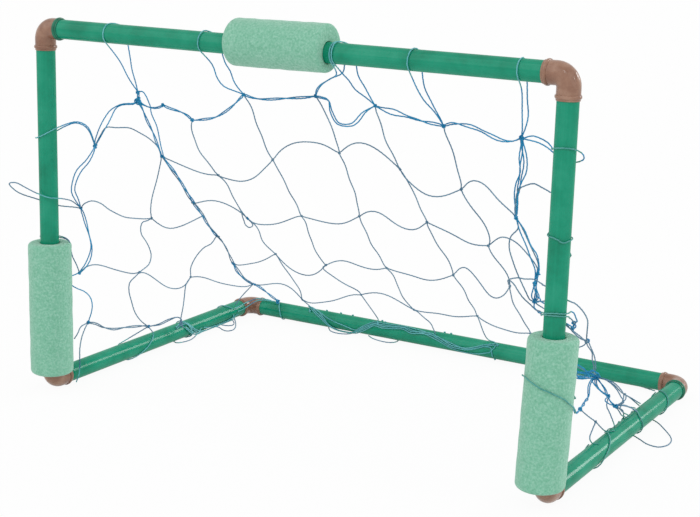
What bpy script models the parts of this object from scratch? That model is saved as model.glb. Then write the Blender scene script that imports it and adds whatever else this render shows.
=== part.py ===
"""Floating pool goal: a plastic pipe frame, foam floats and a knotted net.

Sizes are in metres. X runs along the crossbar, Y from the mouth to the back and Z up.
The pieces are laid out from the middle of the mouth at the height of the ground pipes'
axes, and one empty then carries them to where the goal stands centred on z = 0.
"""
import math
from itertools import permutations

import bmesh
import bpy
from mathutils import Matrix, Vector

# Frame, between the axes of its pipes
GOAL_WIDTH = 0.880
GOAL_HEIGHT = 0.576
GOAL_DEPTH = 0.576

# Pipe
PIPE_RADIUS = 0.0150
PIPE_WALL = 0.0022
ROUND_SIDES = 20

# Moulded elbow
ELBOW_WALL = 0.0010
ELBOW_SOCKET_DEPTH = 0.0172
ELBOW_CREASE_RADIUS = 0.001
BEAD_HEIGHT = 0.0019
BEAD_WIDTH = 0.0050
BEAD_EDGE = 0.0010
BEAD_INSET = 0.0028
OUTER_BEND_STEPS = 5
INNER_BEND_STEPS = 4

# Foam floats
FLOAT_RADIUS = 0.035
FLOAT_END_ROUND = 0.006
FLOAT_END_STEPS = 3
FLOAT_SIDES = 28
CROSSBAR_FLOAT_LENGTH = 0.162
CROSSBAR_FLOAT_CENTRE = -0.002
CROSSBAR_FLOAT_LIFT = (0.004, 0.006)
LEFT_FLOAT_LENGTH = 0.219
RIGHT_FLOAT_LENGTH = 0.213
RIGHT_FLOAT_LEAN = (-0.004, -0.008)
FLOAT_ELBOW_OVERLAP = 0.022

# Net
TWINE_RADIUS = 0.0011
DOUBLE_TWINE_RADIUS = 0.0016
KNOT_HALF = 0.0019
KNOT_NECK = 0.0014
WRAP_POINTS = 14
STRAIGHT_SWING = 0.005
STRAIGHT_SAMPLES = 2
SWUNG_SAMPLES = 4
NET_FRAME = (0.880, 0.576, 0.576)
NET_PIPE_RADIUS = 0.0150

# Angles in degrees above which an edge is shaded sharp
BODY_SHARP_ANGLE = 35
NET_SHARP_ANGLE = 60

# Clearances
FIT_GAP = 0.0003
FOAM_GAP = 0.0004
FLOAT_WRAP_GAP = 0.0035
FLOAT_PLAY_LEFT = 0.029
FLOAT_PLAY_RIGHT = 0.011
FLOAT_CLEARANCE = 0.004
LEG_SPREAD = 0.008

ELBOW_RADIUS = PIPE_RADIUS + FIT_GAP + ELBOW_WALL
BEND_RADIUS = ELBOW_RADIUS + ELBOW_CREASE_RADIUS
ELBOW_REACH = BEND_RADIUS + ELBOW_SOCKET_DEPTH
BEAD_RADIUS = ELBOW_RADIUS + BEAD_HEIGHT
BORE_RADIUS = PIPE_RADIUS - PIPE_WALL
HALF_STEP = math.pi / ROUND_SIDES
SOCKET_RADIUS = (PIPE_RADIUS + FIT_GAP) / math.cos(HALF_STEP)
WRAP_RADIUS = (PIPE_RADIUS + TWINE_RADIUS) / math.cos(math.pi / WRAP_POINTS) + FIT_GAP
FLOAT_BORE_RADIUS = (PIPE_RADIUS + FOAM_GAP) / math.cos(math.pi / FLOAT_SIDES)
FLOAT_CUP_RADIUS = (BEAD_RADIUS + FOAM_GAP) / math.cos(HALF_STEP)

X_AXIS = Vector((1, 0, 0))
Y_AXIS = Vector((0, 1, 0))
Z_AXIS = Vector((0, 0, 1))
LEFT = -GOAL_WIDTH / 2
RIGHT = GOAL_WIDTH / 2

# Knots of the back panel, as they hang on a goal of the size NET_FRAME:
# edge runs down the left slanting edge, r1c1 is row 1, column 1, and far runs down the right edge
BACK_KNOTS = {
    "edge0": (-0.330, 0.095, 0.465),
    "edge1": (-0.355, 0.190, 0.355),
    "edge2": (-0.360, 0.285, 0.260),
    "edge3": (-0.365, 0.365, 0.185),
    "edge4": (-0.375, 0.430, 0.120),
    "edge5": (-0.375, 0.490, 0.070),
    "r1c1": (-0.230, 0.100, 0.440),
    "r1c2": (-0.105, 0.060, 0.495),
    "r1c3": (0.025, 0.055, 0.505),
    "r1c4": (0.125, 0.055, 0.500),
    "r1c5": (0.230, 0.065, 0.480),
    "r2c1": (-0.250, 0.200, 0.335),
    "r2c2": (-0.120, 0.165, 0.380),
    "r2c3": (0.020, 0.135, 0.410),
    "r2c4": (0.120, 0.145, 0.395),
    "r2c5": (0.230, 0.130, 0.380),
    "r3c1": (-0.255, 0.295, 0.245),
    "r3c2": (-0.130, 0.270, 0.270),
    "r3c3": (-0.005, 0.245, 0.290),
    "r3c4": (0.125, 0.230, 0.300),
    "r3c5": (0.245, 0.200, 0.285),
    "r4c1": (-0.255, 0.385, 0.165),
    "r4c2": (-0.150, 0.385, 0.160),
    "r4c3": (-0.015, 0.360, 0.180),
    "r4c4": (0.125, 0.330, 0.195),
    "r4c5": (0.255, 0.265, 0.210),
    "r5c1": (-0.275, 0.510, 0.050),
    "r5c2": (-0.120, 0.460, 0.095),
    "r5c3": (-0.020, 0.475, 0.080),
    "r5c4": (0.120, 0.440, 0.100),
    "r5c5": (0.245, 0.380, 0.105),
    "far0": (0.360, 0.040, 0.480),
    "far1": (0.345, 0.070, 0.365),
    "far2": (0.366, 0.110, 0.284),
    "far3": (0.354, 0.130, 0.231),
    "far4": (0.385, 0.266, 0.142),
    "far5": (0.352, 0.400, 0.050),
}

# Strands of the back panel: two knots, then how far the twine swings off the straight
# line at one third and two thirds of its length, upwards along a row
BACK_ROWS = [
    ("edge0", "r1c1", 0.001, 0.008),
    ("r1c1", "r1c2", -0.017, -0.007),
    ("r1c2", "r1c3", -0.006, -0.004),
    ("r1c3", "r1c4", -0.021, -0.028),
    ("r1c4", "r1c5", -0.002, -0.001),
    ("r1c5", "far0", 0.006, -0.005),
    ("edge1", "r2c1", -0.004, -0.005),
    ("r2c1", "r2c2", -0.018, -0.020),
    ("r2c2", "r2c3", 0.023, 0.019),
    ("r2c3", "r2c4", 0.023, 0.019),
    ("r2c4", "r2c5", -0.023, -0.020),
    ("r2c5", "far1", 0.023, 0.013),
    ("edge2", "r3c1", 0.013, 0.014),
    ("r3c1", "r3c2", -0.013, -0.008),
    ("r3c2", "r3c3", -0.009, -0.012),
    ("r3c3", "r3c4", 0.006, -0.012),
    ("r3c4", "r3c5", -0.003, -0.006),
    ("r3c5", "far2", 0.024, 0.021),
    ("edge4", "r4c1", -0.007, -0.006),
    ("r4c1", "r4c2", -0.022, -0.025),
    ("r4c2", "r4c3", 0.008, -0.001),
    ("r4c3", "r4c4", -0.008, -0.012),
    ("r4c4", "r4c5", 0.010, -0.020),
    ("r4c5", "far4", 0.038, 0.042),
    ("edge5", "r5c1", 0.015, 0.021),
    ("r5c1", "r5c2", -0.009, -0.003),
    ("r5c2", "r5c3", 0.012, 0.009),
    ("r5c3", "r5c4", -0.003, -0.004),
    ("r5c4", "r5c5", -0.008, -0.007),
    ("r5c5", "far5", -0.006, -0.006),
]

# The same for the columns and the two long edges, which swing sideways, to the right
BACK_COLUMNS = [
    ("edge0", "edge1", -0.004, -0.002),
    ("edge1", "edge2", 0.002, 0.001),
    ("edge2", "edge3", 0.001, -0.002),
    ("edge3", "edge4", 0.002, 0.002),
    ("edge4", "edge5", 0.001, 0.002),
    ("r1c1", "r2c1", -0.014, -0.013),
    ("r2c1", "r3c1", 0.004, -0.002),
    ("r3c1", "r4c1", 0.003, -0.006),
    ("r4c1", "r5c1", 0.003, 0.007),
    ("r1c2", "r2c2", 0.002, -0.002),
    ("r2c2", "r3c2", 0.001, 0.001),
    ("r3c2", "r4c2", -0.002, -0.007),
    ("r4c2", "r5c2", -0.020, -0.005),
    ("r1c3", "r2c3", 0.005, 0.005),
    ("r2c3", "r3c3", 0.004, 0.005),
    ("r3c3", "r4c3", -0.004, -0.004),
    ("r4c3", "r5c3", 0.001, -0.006),
    ("r1c4", "r2c4", -0.004, -0.004),
    ("r2c4", "r3c4", 0.003, 0.002),
    ("r3c4", "r4c4", -0.002, 0.004),
    ("r4c4", "r5c4", 0.003, 0.002),
    ("r1c5", "r2c5", 0.002, 0.004),
    ("r2c5", "r3c5", 0.004, 0.012),
    ("r3c5", "r4c5", 0.001, 0.006),
    ("r4c5", "r5c5", -0.007, -0.004),
    ("far0", "far1", 0.003, 0.001),
    ("far1", "far2", 0.003, 0.005),
    ("far2", "far3", -0.001, 0.001),
    ("far3", "far4", 0.004, 0.004),
    ("far4", "far5", 0.004, 0.002),
]

# Turns of the back panel round the crossbar: knot, where its two legs reach the bar, and
# how far below the bar's axis each leg hangs before it turns to the knot
FLOAT_LEFT_END = CROSSBAR_FLOAT_CENTRE - CROSSBAR_FLOAT_LENGTH / 2
FLOAT_RIGHT_END = CROSSBAR_FLOAT_CENTRE + CROSSBAR_FLOAT_LENGTH / 2
FLOAT_TURNS_AT = FLOAT_RIGHT_END + FLOAT_PLAY_RIGHT
BELOW_FLOAT = FLOAT_RADIUS + FLOAT_CLEARANCE
CROSSBAR_TURNS = [
    ("edge0", LEFT + 0.133, LEFT + 0.162, 0.035, 0.0),
    ("r1c2", FLOAT_LEFT_END - FLOAT_PLAY_LEFT - 0.018, FLOAT_LEFT_END - FLOAT_PLAY_LEFT, 0.045, 0.0),
    ("r1c3", FLOAT_TURNS_AT, FLOAT_TURNS_AT + 0.005, BELOW_FLOAT, BELOW_FLOAT),
    ("r1c4", FLOAT_TURNS_AT + 0.010, FLOAT_TURNS_AT + 0.030, 0.030, 0.0),
    ("r1c5", RIGHT - 0.227, RIGHT - 0.215, 0.035, 0.0),
    ("far0", RIGHT - 0.069, RIGHT - 0.060, 0.0, 0.0),
]

# The same round the rear bar
REAR_BAR_TURNS = [
    ("edge5", LEFT + 0.062, LEFT + 0.074),
    ("r5c1", LEFT + 0.142, LEFT + 0.183),
    ("r5c2", LEFT + 0.286, LEFT + 0.296),
    ("r5c3", LEFT + 0.404, LEFT + 0.413),
    ("r5c4", RIGHT - 0.364, RIGHT - 0.355),
    ("r5c5", RIGHT - 0.210, RIGHT - 0.195),
    ("far5", RIGHT - 0.080, RIGHT - 0.066),
]

# Left side panel
LEFT_KNOTS = {
    "edge0": (-0.341, 0.090, 0.468),
    "edge1": (-0.364, 0.183, 0.352),
    "edge2": (-0.369, 0.279, 0.256),
    "edge3": (-0.374, 0.359, 0.181),
    "edge4": (-0.384, 0.424, 0.116),
    "edge5": (-0.385, 0.484, 0.066),
    "post1": (-0.415, 0.085, 0.380),
    "post2": (-0.425, 0.060, 0.280),
    "post3": (-0.430, 0.060, 0.170),
    "post4": (-0.430, 0.080, 0.080),
    "mid2": (-0.400, 0.215, 0.240),
    "mid3": (-0.415, 0.200, 0.145),
    "mid4": (-0.416, 0.225, 0.041),
    "low3": (-0.405, 0.335, 0.110),
}
LEFT_ROWS = [
    ("edge0", "post1", 0.018, 0.022, TWINE_RADIUS),
    ("edge1", "post1", 0.020, 0.024, TWINE_RADIUS),
    ("post2", "mid2", 0.007, -0.006, TWINE_RADIUS),
    ("mid2", "edge2", -0.027, -0.029, TWINE_RADIUS),
    ("post3", "mid3", 0.013, 0.002, TWINE_RADIUS),
    ("mid3", "low3", -0.012, -0.025, TWINE_RADIUS),
    ("low3", "edge5", -0.001, -0.008, TWINE_RADIUS),
    ("post4", "mid4", -0.010, -0.004, DOUBLE_TWINE_RADIUS),
]
LEFT_COLUMNS = [
    ("edge0", "edge1", -0.002, -0.001, TWINE_RADIUS),
    ("edge1", "edge2", 0.002, 0.001, TWINE_RADIUS),
    ("edge2", "edge3", 0.001, -0.002, TWINE_RADIUS),
    ("edge3", "edge4", 0.002, 0.002, TWINE_RADIUS),
    ("edge4", "edge5", -0.002, -0.002, TWINE_RADIUS),
    ("post1", "post2", -0.015, -0.027, DOUBLE_TWINE_RADIUS),
    ("post2", "post3", 0.018, 0.023, DOUBLE_TWINE_RADIUS),
    ("post3", "post4", 0.004, 0.016, TWINE_RADIUS),
    ("mid2", "mid3", -0.004, 0.016, TWINE_RADIUS),
    ("mid3", "mid4", -0.030, -0.028, TWINE_RADIUS),
    ("edge1", "mid2", -0.001, -0.006, TWINE_RADIUS),
    ("edge3", "low3", -0.012, -0.012, TWINE_RADIUS),
]
# Turns round the left ground pipe: knot, then the depths where its two legs reach the pipe
LEFT_RAIL_TURNS = [
    ("post4", 0.062, 0.070),
    ("mid4", 0.200, 0.262),
    ("low3", 0.368, 0.382),
    ("edge5", 0.524, 0.532),
]
# Bights round the left upright: knot, then points off the pipe's axis and up from its foot
LEFT_BIGHTS = [
    ("post1", [
        (0.036, 0.060, 0.412), (0.032, 0.028, 0.424), (0.026, -0.004, 0.425), (0.012, -0.0185, 0.415),
        (-0.009, -0.0185, 0.407), (-0.0205, -0.005, 0.401), (-0.016, 0.014, 0.395), (0.002, 0.027, 0.388)]),
    ("post2", [
        (0.020, 0.034, 0.297), (0.0225, 0.006, 0.305), (0.014, -0.0155, 0.309), (-0.005, -0.0205, 0.315),
        (-0.028, -0.022, 0.322), (-0.050, -0.023, 0.327), (-0.064, -0.022, 0.323), (-0.057, -0.012, 0.311),
        (-0.038, 0.008, 0.298), (-0.018, 0.023, 0.290), (-0.004, 0.034, 0.286)]),
]

# Right side panel, drawn together behind the upright and beside the ground pipe
RIGHT_KNOTS = {
    "head": (0.369, 0.032, 0.475),
    "neck": (0.357, 0.047, 0.408),
    "bunch1": (0.353, 0.058, 0.369),
    "bunch2": (0.376, 0.102, 0.290),
    "bunch3": (0.364, 0.121, 0.236),
    "post3": (0.428, 0.100, 0.217),
    "post4": (0.394, 0.254, 0.150),
    "tangle": (0.384, 0.320, 0.073),
    "foot": (0.419, 0.170, 0.070),
    "rail": (0.425, 0.300, 0.038),
}
RIGHT_ROWS = [
    ("post3", "post4", 0.010, 0.014, DOUBLE_TWINE_RADIUS),
    ("tangle", "foot", 0.006, 0.004, DOUBLE_TWINE_RADIUS),
    ("tangle", "rail", 0.012, 0.010, TWINE_RADIUS),
    ("bunch3", "post3", 0.004, 0.004, TWINE_RADIUS),
]
RIGHT_COLUMNS = [
    ("head", "neck", 0.001, -0.001, TWINE_RADIUS),
    ("neck", "bunch1", 0.001, -0.001, TWINE_RADIUS),
    ("bunch1", "bunch2", 0.003, 0.005, TWINE_RADIUS),
    ("bunch2", "bunch3", 0.003, 0.004, TWINE_RADIUS),
    ("post4", "tangle", 0.006, 0.004, TWINE_RADIUS),
    ("post4", "foot", -0.008, -0.008, TWINE_RADIUS),
]
RIGHT_RAIL_TURNS = [
    ("foot", 0.155, 0.219),
    ("rail", 0.252, 0.285),
]
# The bight that lies on the ground beside the right pipe: places off its axis, and depths
GROUND_BIGHT = [
    (0.024, 0.422), (0.032, 0.398), (0.054, 0.365), (0.065, 0.342),
    (0.066, 0.319), (0.058, 0.304), (0.039, 0.309), (0.024, 0.322),
]
GROUND_DROP = 0.0160
# The depth where that bight goes over the pipe, the shares of the way there from the knot that
# get a point, and the two depths where it comes back under the pipe
GROUND_BIGHT_OVER = 0.430
GROUND_BIGHT_LEAD = (0.35, 0.7)
GROUND_BIGHT_UNDER = (0.340, 0.332)
# Heights of the strand that turns behind the right upright from the neck to the bunch
BUNCH_TURN_HEIGHTS = (0.422, 0.352)
# The slack strand that swings out from the bunch before it crosses the front of the upright
FRONT_SLACK = [(0.332, 0.082, 0.318), (0.345, 0.090, 0.274), (0.386, 0.045, 0.250)]
FRONT_SLACK_HEIGHTS = (0.258, 0.262)
# The turn round the right float: heights at its two ends, and the share of the float's lean there
FLOAT_WRAP_HEIGHTS = (0.112, 0.168)
FLOAT_WRAP_LEAN = 0.47
FLOAT_WRAP_POINTS = 18
# Bights round the right upright
RIGHT_BIGHTS = [
    ("head", [
        (-0.048, 0.022, 0.485), (-0.028, -0.001, 0.485), (-0.014, -0.0165, 0.482), (0.006, -0.0195, 0.482),
        (0.021, -0.009, 0.480), (0.029, 0.004, 0.472), (0.023, 0.015, 0.463), (0.004, 0.022, 0.459),
        (-0.024, 0.026, 0.464)]),
]


def stretch(point):
    """A knot's place, moved with the frame's corners when the goal has another size."""
    x, y, z = point
    width, depth, height = NET_FRAME
    return Vector((x * GOAL_WIDTH / width, y * GOAL_DEPTH / depth, z * GOAL_HEIGHT / height))


def principled(name, colour, roughness, metallic=0.0):
    """A plain material, its colour given in linear values."""
    material = bpy.data.materials.new(name)
    material.use_nodes = True
    shader = material.node_tree.nodes["Principled BSDF"]
    shader.inputs["Base Color"].default_value = (*colour, 1.0)
    shader.inputs["Roughness"].default_value = roughness
    shader.inputs["Metallic"].default_value = metallic
    material.diffuse_color = (*colour, 1.0)
    return material


def add_object(name, mesh, material, parent, matrix):
    """Link one piece, placed under the empty that carries the goal."""
    piece = bpy.data.objects.new(name, mesh)
    bpy.context.scene.collection.objects.link(piece)
    if not mesh.materials:
        mesh.materials.append(material)
    piece.parent = parent
    piece.matrix_local = matrix
    return piece


def ring(centre, radius, first, second, sides=ROUND_SIDES, half=True):
    """Points round a circle in the plane of two unit vectors."""
    shift = 0.5 if half else 0.0
    points = []
    for step in range(sides):
        angle = 2 * math.pi * (step + shift) / sides
        points.append(centre + radius * (math.cos(angle) * first + math.sin(angle) * second))
    return points


def loft_closed(name, rings):
    """A closed hollow body whose section runs through the rings and back to the first."""
    bm = bmesh.new()
    loops = [[bm.verts.new(point) for point in points] for points in rings]
    for index, loop in enumerate(loops):
        following = loops[(index + 1) % len(loops)]
        for step in range(len(loop)):
            after = (step + 1) % len(loop)
            bm.faces.new((loop[step], loop[after], following[after], following[step]))
    return finish_mesh(name, bm, BODY_SHARP_ANGLE)


def finish_mesh(name, bm, sharp_angle):
    mesh = bpy.data.meshes.new(name)
    bm.to_mesh(mesh)
    bm.free()
    mesh.shade_smooth()
    mesh.set_sharp_from_angle(angle=math.radians(sharp_angle))
    return mesh


def pipe_mesh(name, length):
    """A hollow pipe from the origin along +Z."""
    section = [(0.0, PIPE_RADIUS), (length, PIPE_RADIUS), (length, BORE_RADIUS), (0.0, BORE_RADIUS)]
    rings = [ring(Z_AXIS * height, radius, X_AXIS, Y_AXIS) for height, radius in section]
    return loft_closed(name, rings)


def elbow_mesh(name):
    """A moulded elbow with its arms along +X and +Y, round the corner where the axes cross."""
    bead_start = ELBOW_REACH - BEAD_INSET
    bead_end = bead_start - BEAD_WIDTH
    outer_arm = [
        (ELBOW_REACH, ELBOW_RADIUS),
        (bead_start, ELBOW_RADIUS),
        (bead_start - BEAD_EDGE, BEAD_RADIUS),
        (bead_end + BEAD_EDGE, BEAD_RADIUS),
        (bead_end, ELBOW_RADIUS),
    ]
    inner_arm = [(ELBOW_REACH, SOCKET_RADIUS), (BEND_RADIUS, SOCKET_RADIUS)]

    def arm_a(distance, radius):
        return ring(X_AXIS * distance, radius, -Y_AXIS, Z_AXIS)

    def arm_b(distance, radius):
        return ring(Y_AXIS * distance, radius, -X_AXIS, Z_AXIS)

    def bend(steps, radius):
        rings = []
        for step in range(steps + 1):
            turn = math.pi / 2 * step / steps
            outward = Vector((-math.sin(turn), -math.cos(turn), 0))
            centre = Vector((BEND_RADIUS, BEND_RADIUS, 0)) + BEND_RADIUS * outward
            rings.append(ring(centre, radius, outward, Z_AXIS))
        return rings

    outside = [arm_a(*at) for at in outer_arm] + bend(OUTER_BEND_STEPS, ELBOW_RADIUS)
    outside += [arm_b(*at) for at in reversed(outer_arm)]
    inside = [arm_b(*at) for at in inner_arm]
    inside += list(reversed(bend(INNER_BEND_STEPS, BORE_RADIUS)))
    inside += [arm_a(*at) for at in reversed(inner_arm)]
    return loft_closed(name, outside + inside)


def float_mesh(name, length, start_shift, end_shift, cup_depth=0.0):
    """A foam sleeve along +Z whose outside may lie off its bore by a shift at each end."""
    outside = []
    for step in range(FLOAT_END_STEPS + 1):
        angle = math.pi / 2 * step / FLOAT_END_STEPS
        height = FLOAT_END_ROUND * (1 - math.cos(angle))
        outside.append((height, FLOAT_RADIUS - FLOAT_END_ROUND * (1 - math.sin(angle))))
    outside += [(length - height, radius) for height, radius in reversed(outside)]
    inside = [(length, FLOAT_BORE_RADIUS)]
    if cup_depth:
        inside += [(cup_depth, FLOAT_BORE_RADIUS), (cup_depth, FLOAT_CUP_RADIUS), (0.0, FLOAT_CUP_RADIUS)]
    else:
        inside.append((0.0, FLOAT_BORE_RADIUS))
    rings = []
    for height, radius in outside:
        share = height / length
        shift = Vector(start_shift) * (1 - share) + Vector(end_shift) * share
        rings.append(ring(Z_AXIS * height + shift, radius, X_AXIS, Y_AXIS, FLOAT_SIDES, half=False))
    for height, radius in inside:
        rings.append(ring(Z_AXIS * height, radius, X_AXIS, Y_AXIS, FLOAT_SIDES, half=False))
    return loft_closed(name, rings)


def swing(start, end, direction, near, far, samples):
    """Points inside a strand that leaves its straight line by near and far at its thirds."""
    run = end - start
    first = start + run / 3 + direction * (3 * near - 1.5 * far)
    second = end - run / 3 + direction * (3 * far - 1.5 * near)
    points = []
    for step in range(1, samples + 1):
        share = 0.5 - 0.5 * math.cos(math.pi * step / (samples + 1))
        rest = 1 - share
        points.append(
            start * rest ** 3 + first * 3 * share * rest ** 2
            + second * 3 * share ** 2 * rest + end * share ** 3)
    return points


def turn_round(start, end, centre, axis, at, to, radius=WRAP_RADIUS, past=Z_AXIS, points=WRAP_POINTS):
    """Points of a turn round a pipe, from the tangent off start to the tangent off end.

    at and to are places along the axis, from the centre. Of the two ways round, the turn takes
    the one that begins on the side that past points to.
    """
    side = axis.orthogonal().normalized()
    up = axis.cross(side)

    def polar(point):
        off = point - centre
        return math.atan2(off.dot(up), off.dot(side)), math.hypot(off.dot(up), off.dot(side))

    start_angle, start_distance = polar(start)
    end_angle, end_distance = polar(end)
    lean = math.acos(radius / start_distance)
    reach = {}
    for winding in (1, -1):
        angle = start_angle + winding * lean
        reach[winding] = past.dot(math.cos(angle) * side + math.sin(angle) * up)
    winding = max(reach, key=reach.get)
    first = start_angle + winding * lean
    last = end_angle - winding * math.acos(radius / end_distance)
    sweep = (last - first) * winding % (2 * math.pi)
    count = max(3, round(points * sweep / (2 * math.pi)) + 1)
    route = []
    for step in range(count):
        share = step / (count - 1)
        angle = first + winding * sweep * share
        around = radius * (math.cos(angle) * side + math.sin(angle) * up)
        route.append(centre + axis * (at + (to - at) * share) + around)
    return route


class Panel:
    """A panel of netting: small cubes for knots, joined by four-sided strands into one body."""

    def __init__(self, knots):
        self.knots = {name: stretch(place) for name, place in knots.items()}
        self.strands = []

    def strand(self, start, end, middle, radius=TWINE_RADIUS):
        self.strands.append((start, end, middle, radius))

    def swung(self, table, direction):
        """Strands between two knots, with more points where they swing further."""
        for start, end, near, far, *rest in table:
            straight = max(abs(near), abs(far)) < STRAIGHT_SWING
            samples = STRAIGHT_SAMPLES if straight else SWUNG_SAMPLES
            middle = swing(self.knots[start], self.knots[end], direction, near, far, samples)
            self.strand(start, end, middle, *rest)

    def turns(self, table, centre, axis):
        """A bight from a knot round a pipe and back to the knot."""
        for name, at, to in table:
            knot = self.knots[name]
            self.strand(name, name, turn_round(knot, knot, centre, axis, at, to))

    def hanging_turn(self, name, at, to, front_drop, back_drop):
        """A turn over the crossbar whose legs first hang below it, where they are given a drop."""
        knot = self.knots[name]
        crossbar = Z_AXIS * GOAL_HEIGHT
        front = crossbar + Vector((at, 0.5 * LEG_SPREAD, -front_drop))
        back = crossbar + Vector((to, 1.5 * LEG_SPREAD, -back_drop))
        enter = front if front_drop else knot
        leave = back if back_drop else knot
        route = turn_round(enter, leave, crossbar, X_AXIS, at, to, past=-Y_AXIS)
        if front_drop:
            route.insert(0, front)
        if back_drop:
            route.append(back)
        self.strand(name, name, route)

    def knot_axes(self, leaving):
        """Axes for a knot's cube, turned to the two strands that are most nearly square."""
        best = min(permutations(leaving, 2), key=lambda pair: abs(pair[0].dot(pair[1])))
        first = best[0]
        third = first.cross(best[1]).normalized()
        return Matrix((first, third.cross(first), third))

    def mesh(self, name):
        bm = bmesh.new()
        leaving = {knot: [] for knot in self.knots}
        for index, (start, end, middle, radius) in enumerate(self.strands):
            leaving[start].append((index, 0, (middle[0] - self.knots[start]).normalized()))
            leaving[end].append((index, 1, (middle[-1] - self.knots[end]).normalized()))
        mouths = {}
        for knot, ends in leaving.items():
            axes = self.knot_axes([direction for _, _, direction in ends])
            faces = self.cube(bm, self.knots[knot], axes)
            best = max(
                permutations(range(6), len(ends)),
                key=lambda order: sum(faces[face][0].dot(end[2]) for face, end in zip(order, ends)))
            for face, (index, side, direction) in zip(best, ends):
                mouths[index, side] = (faces[face][0], faces[face][1], direction)
            for face in set(range(6)) - set(best):
                bm.faces.new(faces[face][1])
        for index, (start, end, middle, radius) in enumerate(self.strands):
            leave, arrive = mouths[index, 0], mouths[index, 1]
            self.tube(bm, self.knots[start], self.knots[end], middle, radius, leave, arrive)
        return finish_mesh(name, bm, NET_SHARP_ANGLE)

    def cube(self, bm, centre, axes):
        """The outward direction and the four corners of each face of a knot, anticlockwise."""
        corner = {}
        for signs in [(a, b, c) for a in (-1, 1) for b in (-1, 1) for c in (-1, 1)]:
            offset = sum((axes[k] * signs[k] for k in range(3)), Vector())
            corner[signs] = bm.verts.new(centre + offset * KNOT_HALF)
        faces = []
        for k in range(3):
            u, v = (k + 1) % 3, (k + 2) % 3
            for sign in (-1, 1):
                corners = []
                for a, b in ((-1, -1), (1, -1), (1, 1), (-1, 1)):
                    signs = [0, 0, 0]
                    signs[k], signs[u], signs[v] = sign, a * sign, b
                    corners.append(corner[tuple(signs)])
                faces.append((axes[k] * sign, corners))
        return faces

    def tube(self, bm, start, end, middle, radius, leave, arrive):
        """Bridge one knot's face to another's through square rings along the strand."""
        neck = KNOT_HALF + KNOT_NECK
        first = start + leave[0] * neck + leave[2] * KNOT_NECK / 2
        last = end + arrive[0] * neck + arrive[2] * KNOT_NECK / 2
        centres = [first] + middle + [last]
        travel = []
        for index in range(len(centres)):
            before = centres[index - 1] if index else start
            after = centres[index + 1] if index + 1 < len(centres) else end
            travel.append((after - before).normalized())
        normal = leave[1][0].co - leave[1][1].co
        normals = []
        for direction in travel:
            normal = (normal - direction * normal.dot(direction)).normalized()
            normals.append(normal)
        closing = list(reversed(arrive[1]))
        aim = closing[0].co - closing[1].co
        aim = (aim - travel[-1] * aim.dot(travel[-1])).normalized()
        twist = math.atan2(normals[-1].cross(aim).dot(travel[-1]), normals[-1].dot(aim))
        quarter = round(twist / (math.pi / 2))
        twist -= quarter * math.pi / 2
        previous = leave[1]
        for index, centre in enumerate(centres):
            turn = twist * index / (len(centres) - 1)
            side = travel[index].cross(normals[index])
            loop = []
            for step in range(4):
                angle = math.pi / 4 + step * math.pi / 2 + turn
                offset = math.cos(angle) * normals[index] + math.sin(angle) * side
                loop.append(bm.verts.new(centre + radius * offset))
            self.band(bm, previous, loop)
            previous = loop
        closing = [closing[(step - quarter) % 4] for step in range(4)]
        self.band(bm, previous, closing)

    def band(self, bm, loop, following):
        for step in range(4):
            after = (step + 1) % 4
            bm.faces.new((loop[step], loop[after], following[after], following[step]))


def off_pipe(x, points):
    """Points off an upright's axis: they move out with its radius and up with the goal's height."""
    placed = []
    for dx, dy, dz in points:
        out = 1 + (PIPE_RADIUS - NET_PIPE_RADIUS) / math.hypot(dx, dy)
        placed.append(Vector((x + dx * out, dy * out, dz * GOAL_HEIGHT / NET_FRAME[2])))
    return placed


def back_panel():
    panel = Panel(BACK_KNOTS)
    panel.swung(BACK_ROWS, Z_AXIS)
    panel.swung(BACK_COLUMNS, X_AXIS)
    for name, at, to, front_drop, back_drop in CROSSBAR_TURNS:
        panel.hanging_turn(name, at, to, front_drop, back_drop)
    panel.turns(REAR_BAR_TURNS, Y_AXIS * GOAL_DEPTH, X_AXIS)
    return panel.mesh("net_back")


def left_panel():
    panel = Panel(LEFT_KNOTS)
    panel.swung(LEFT_ROWS, Z_AXIS)
    panel.swung(LEFT_COLUMNS, X_AXIS)
    panel.turns(LEFT_RAIL_TURNS, X_AXIS * LEFT, Y_AXIS)
    for knot, points in LEFT_BIGHTS:
        panel.strand(knot, knot, off_pipe(LEFT, points))
    return panel.mesh("net_left_side")


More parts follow.
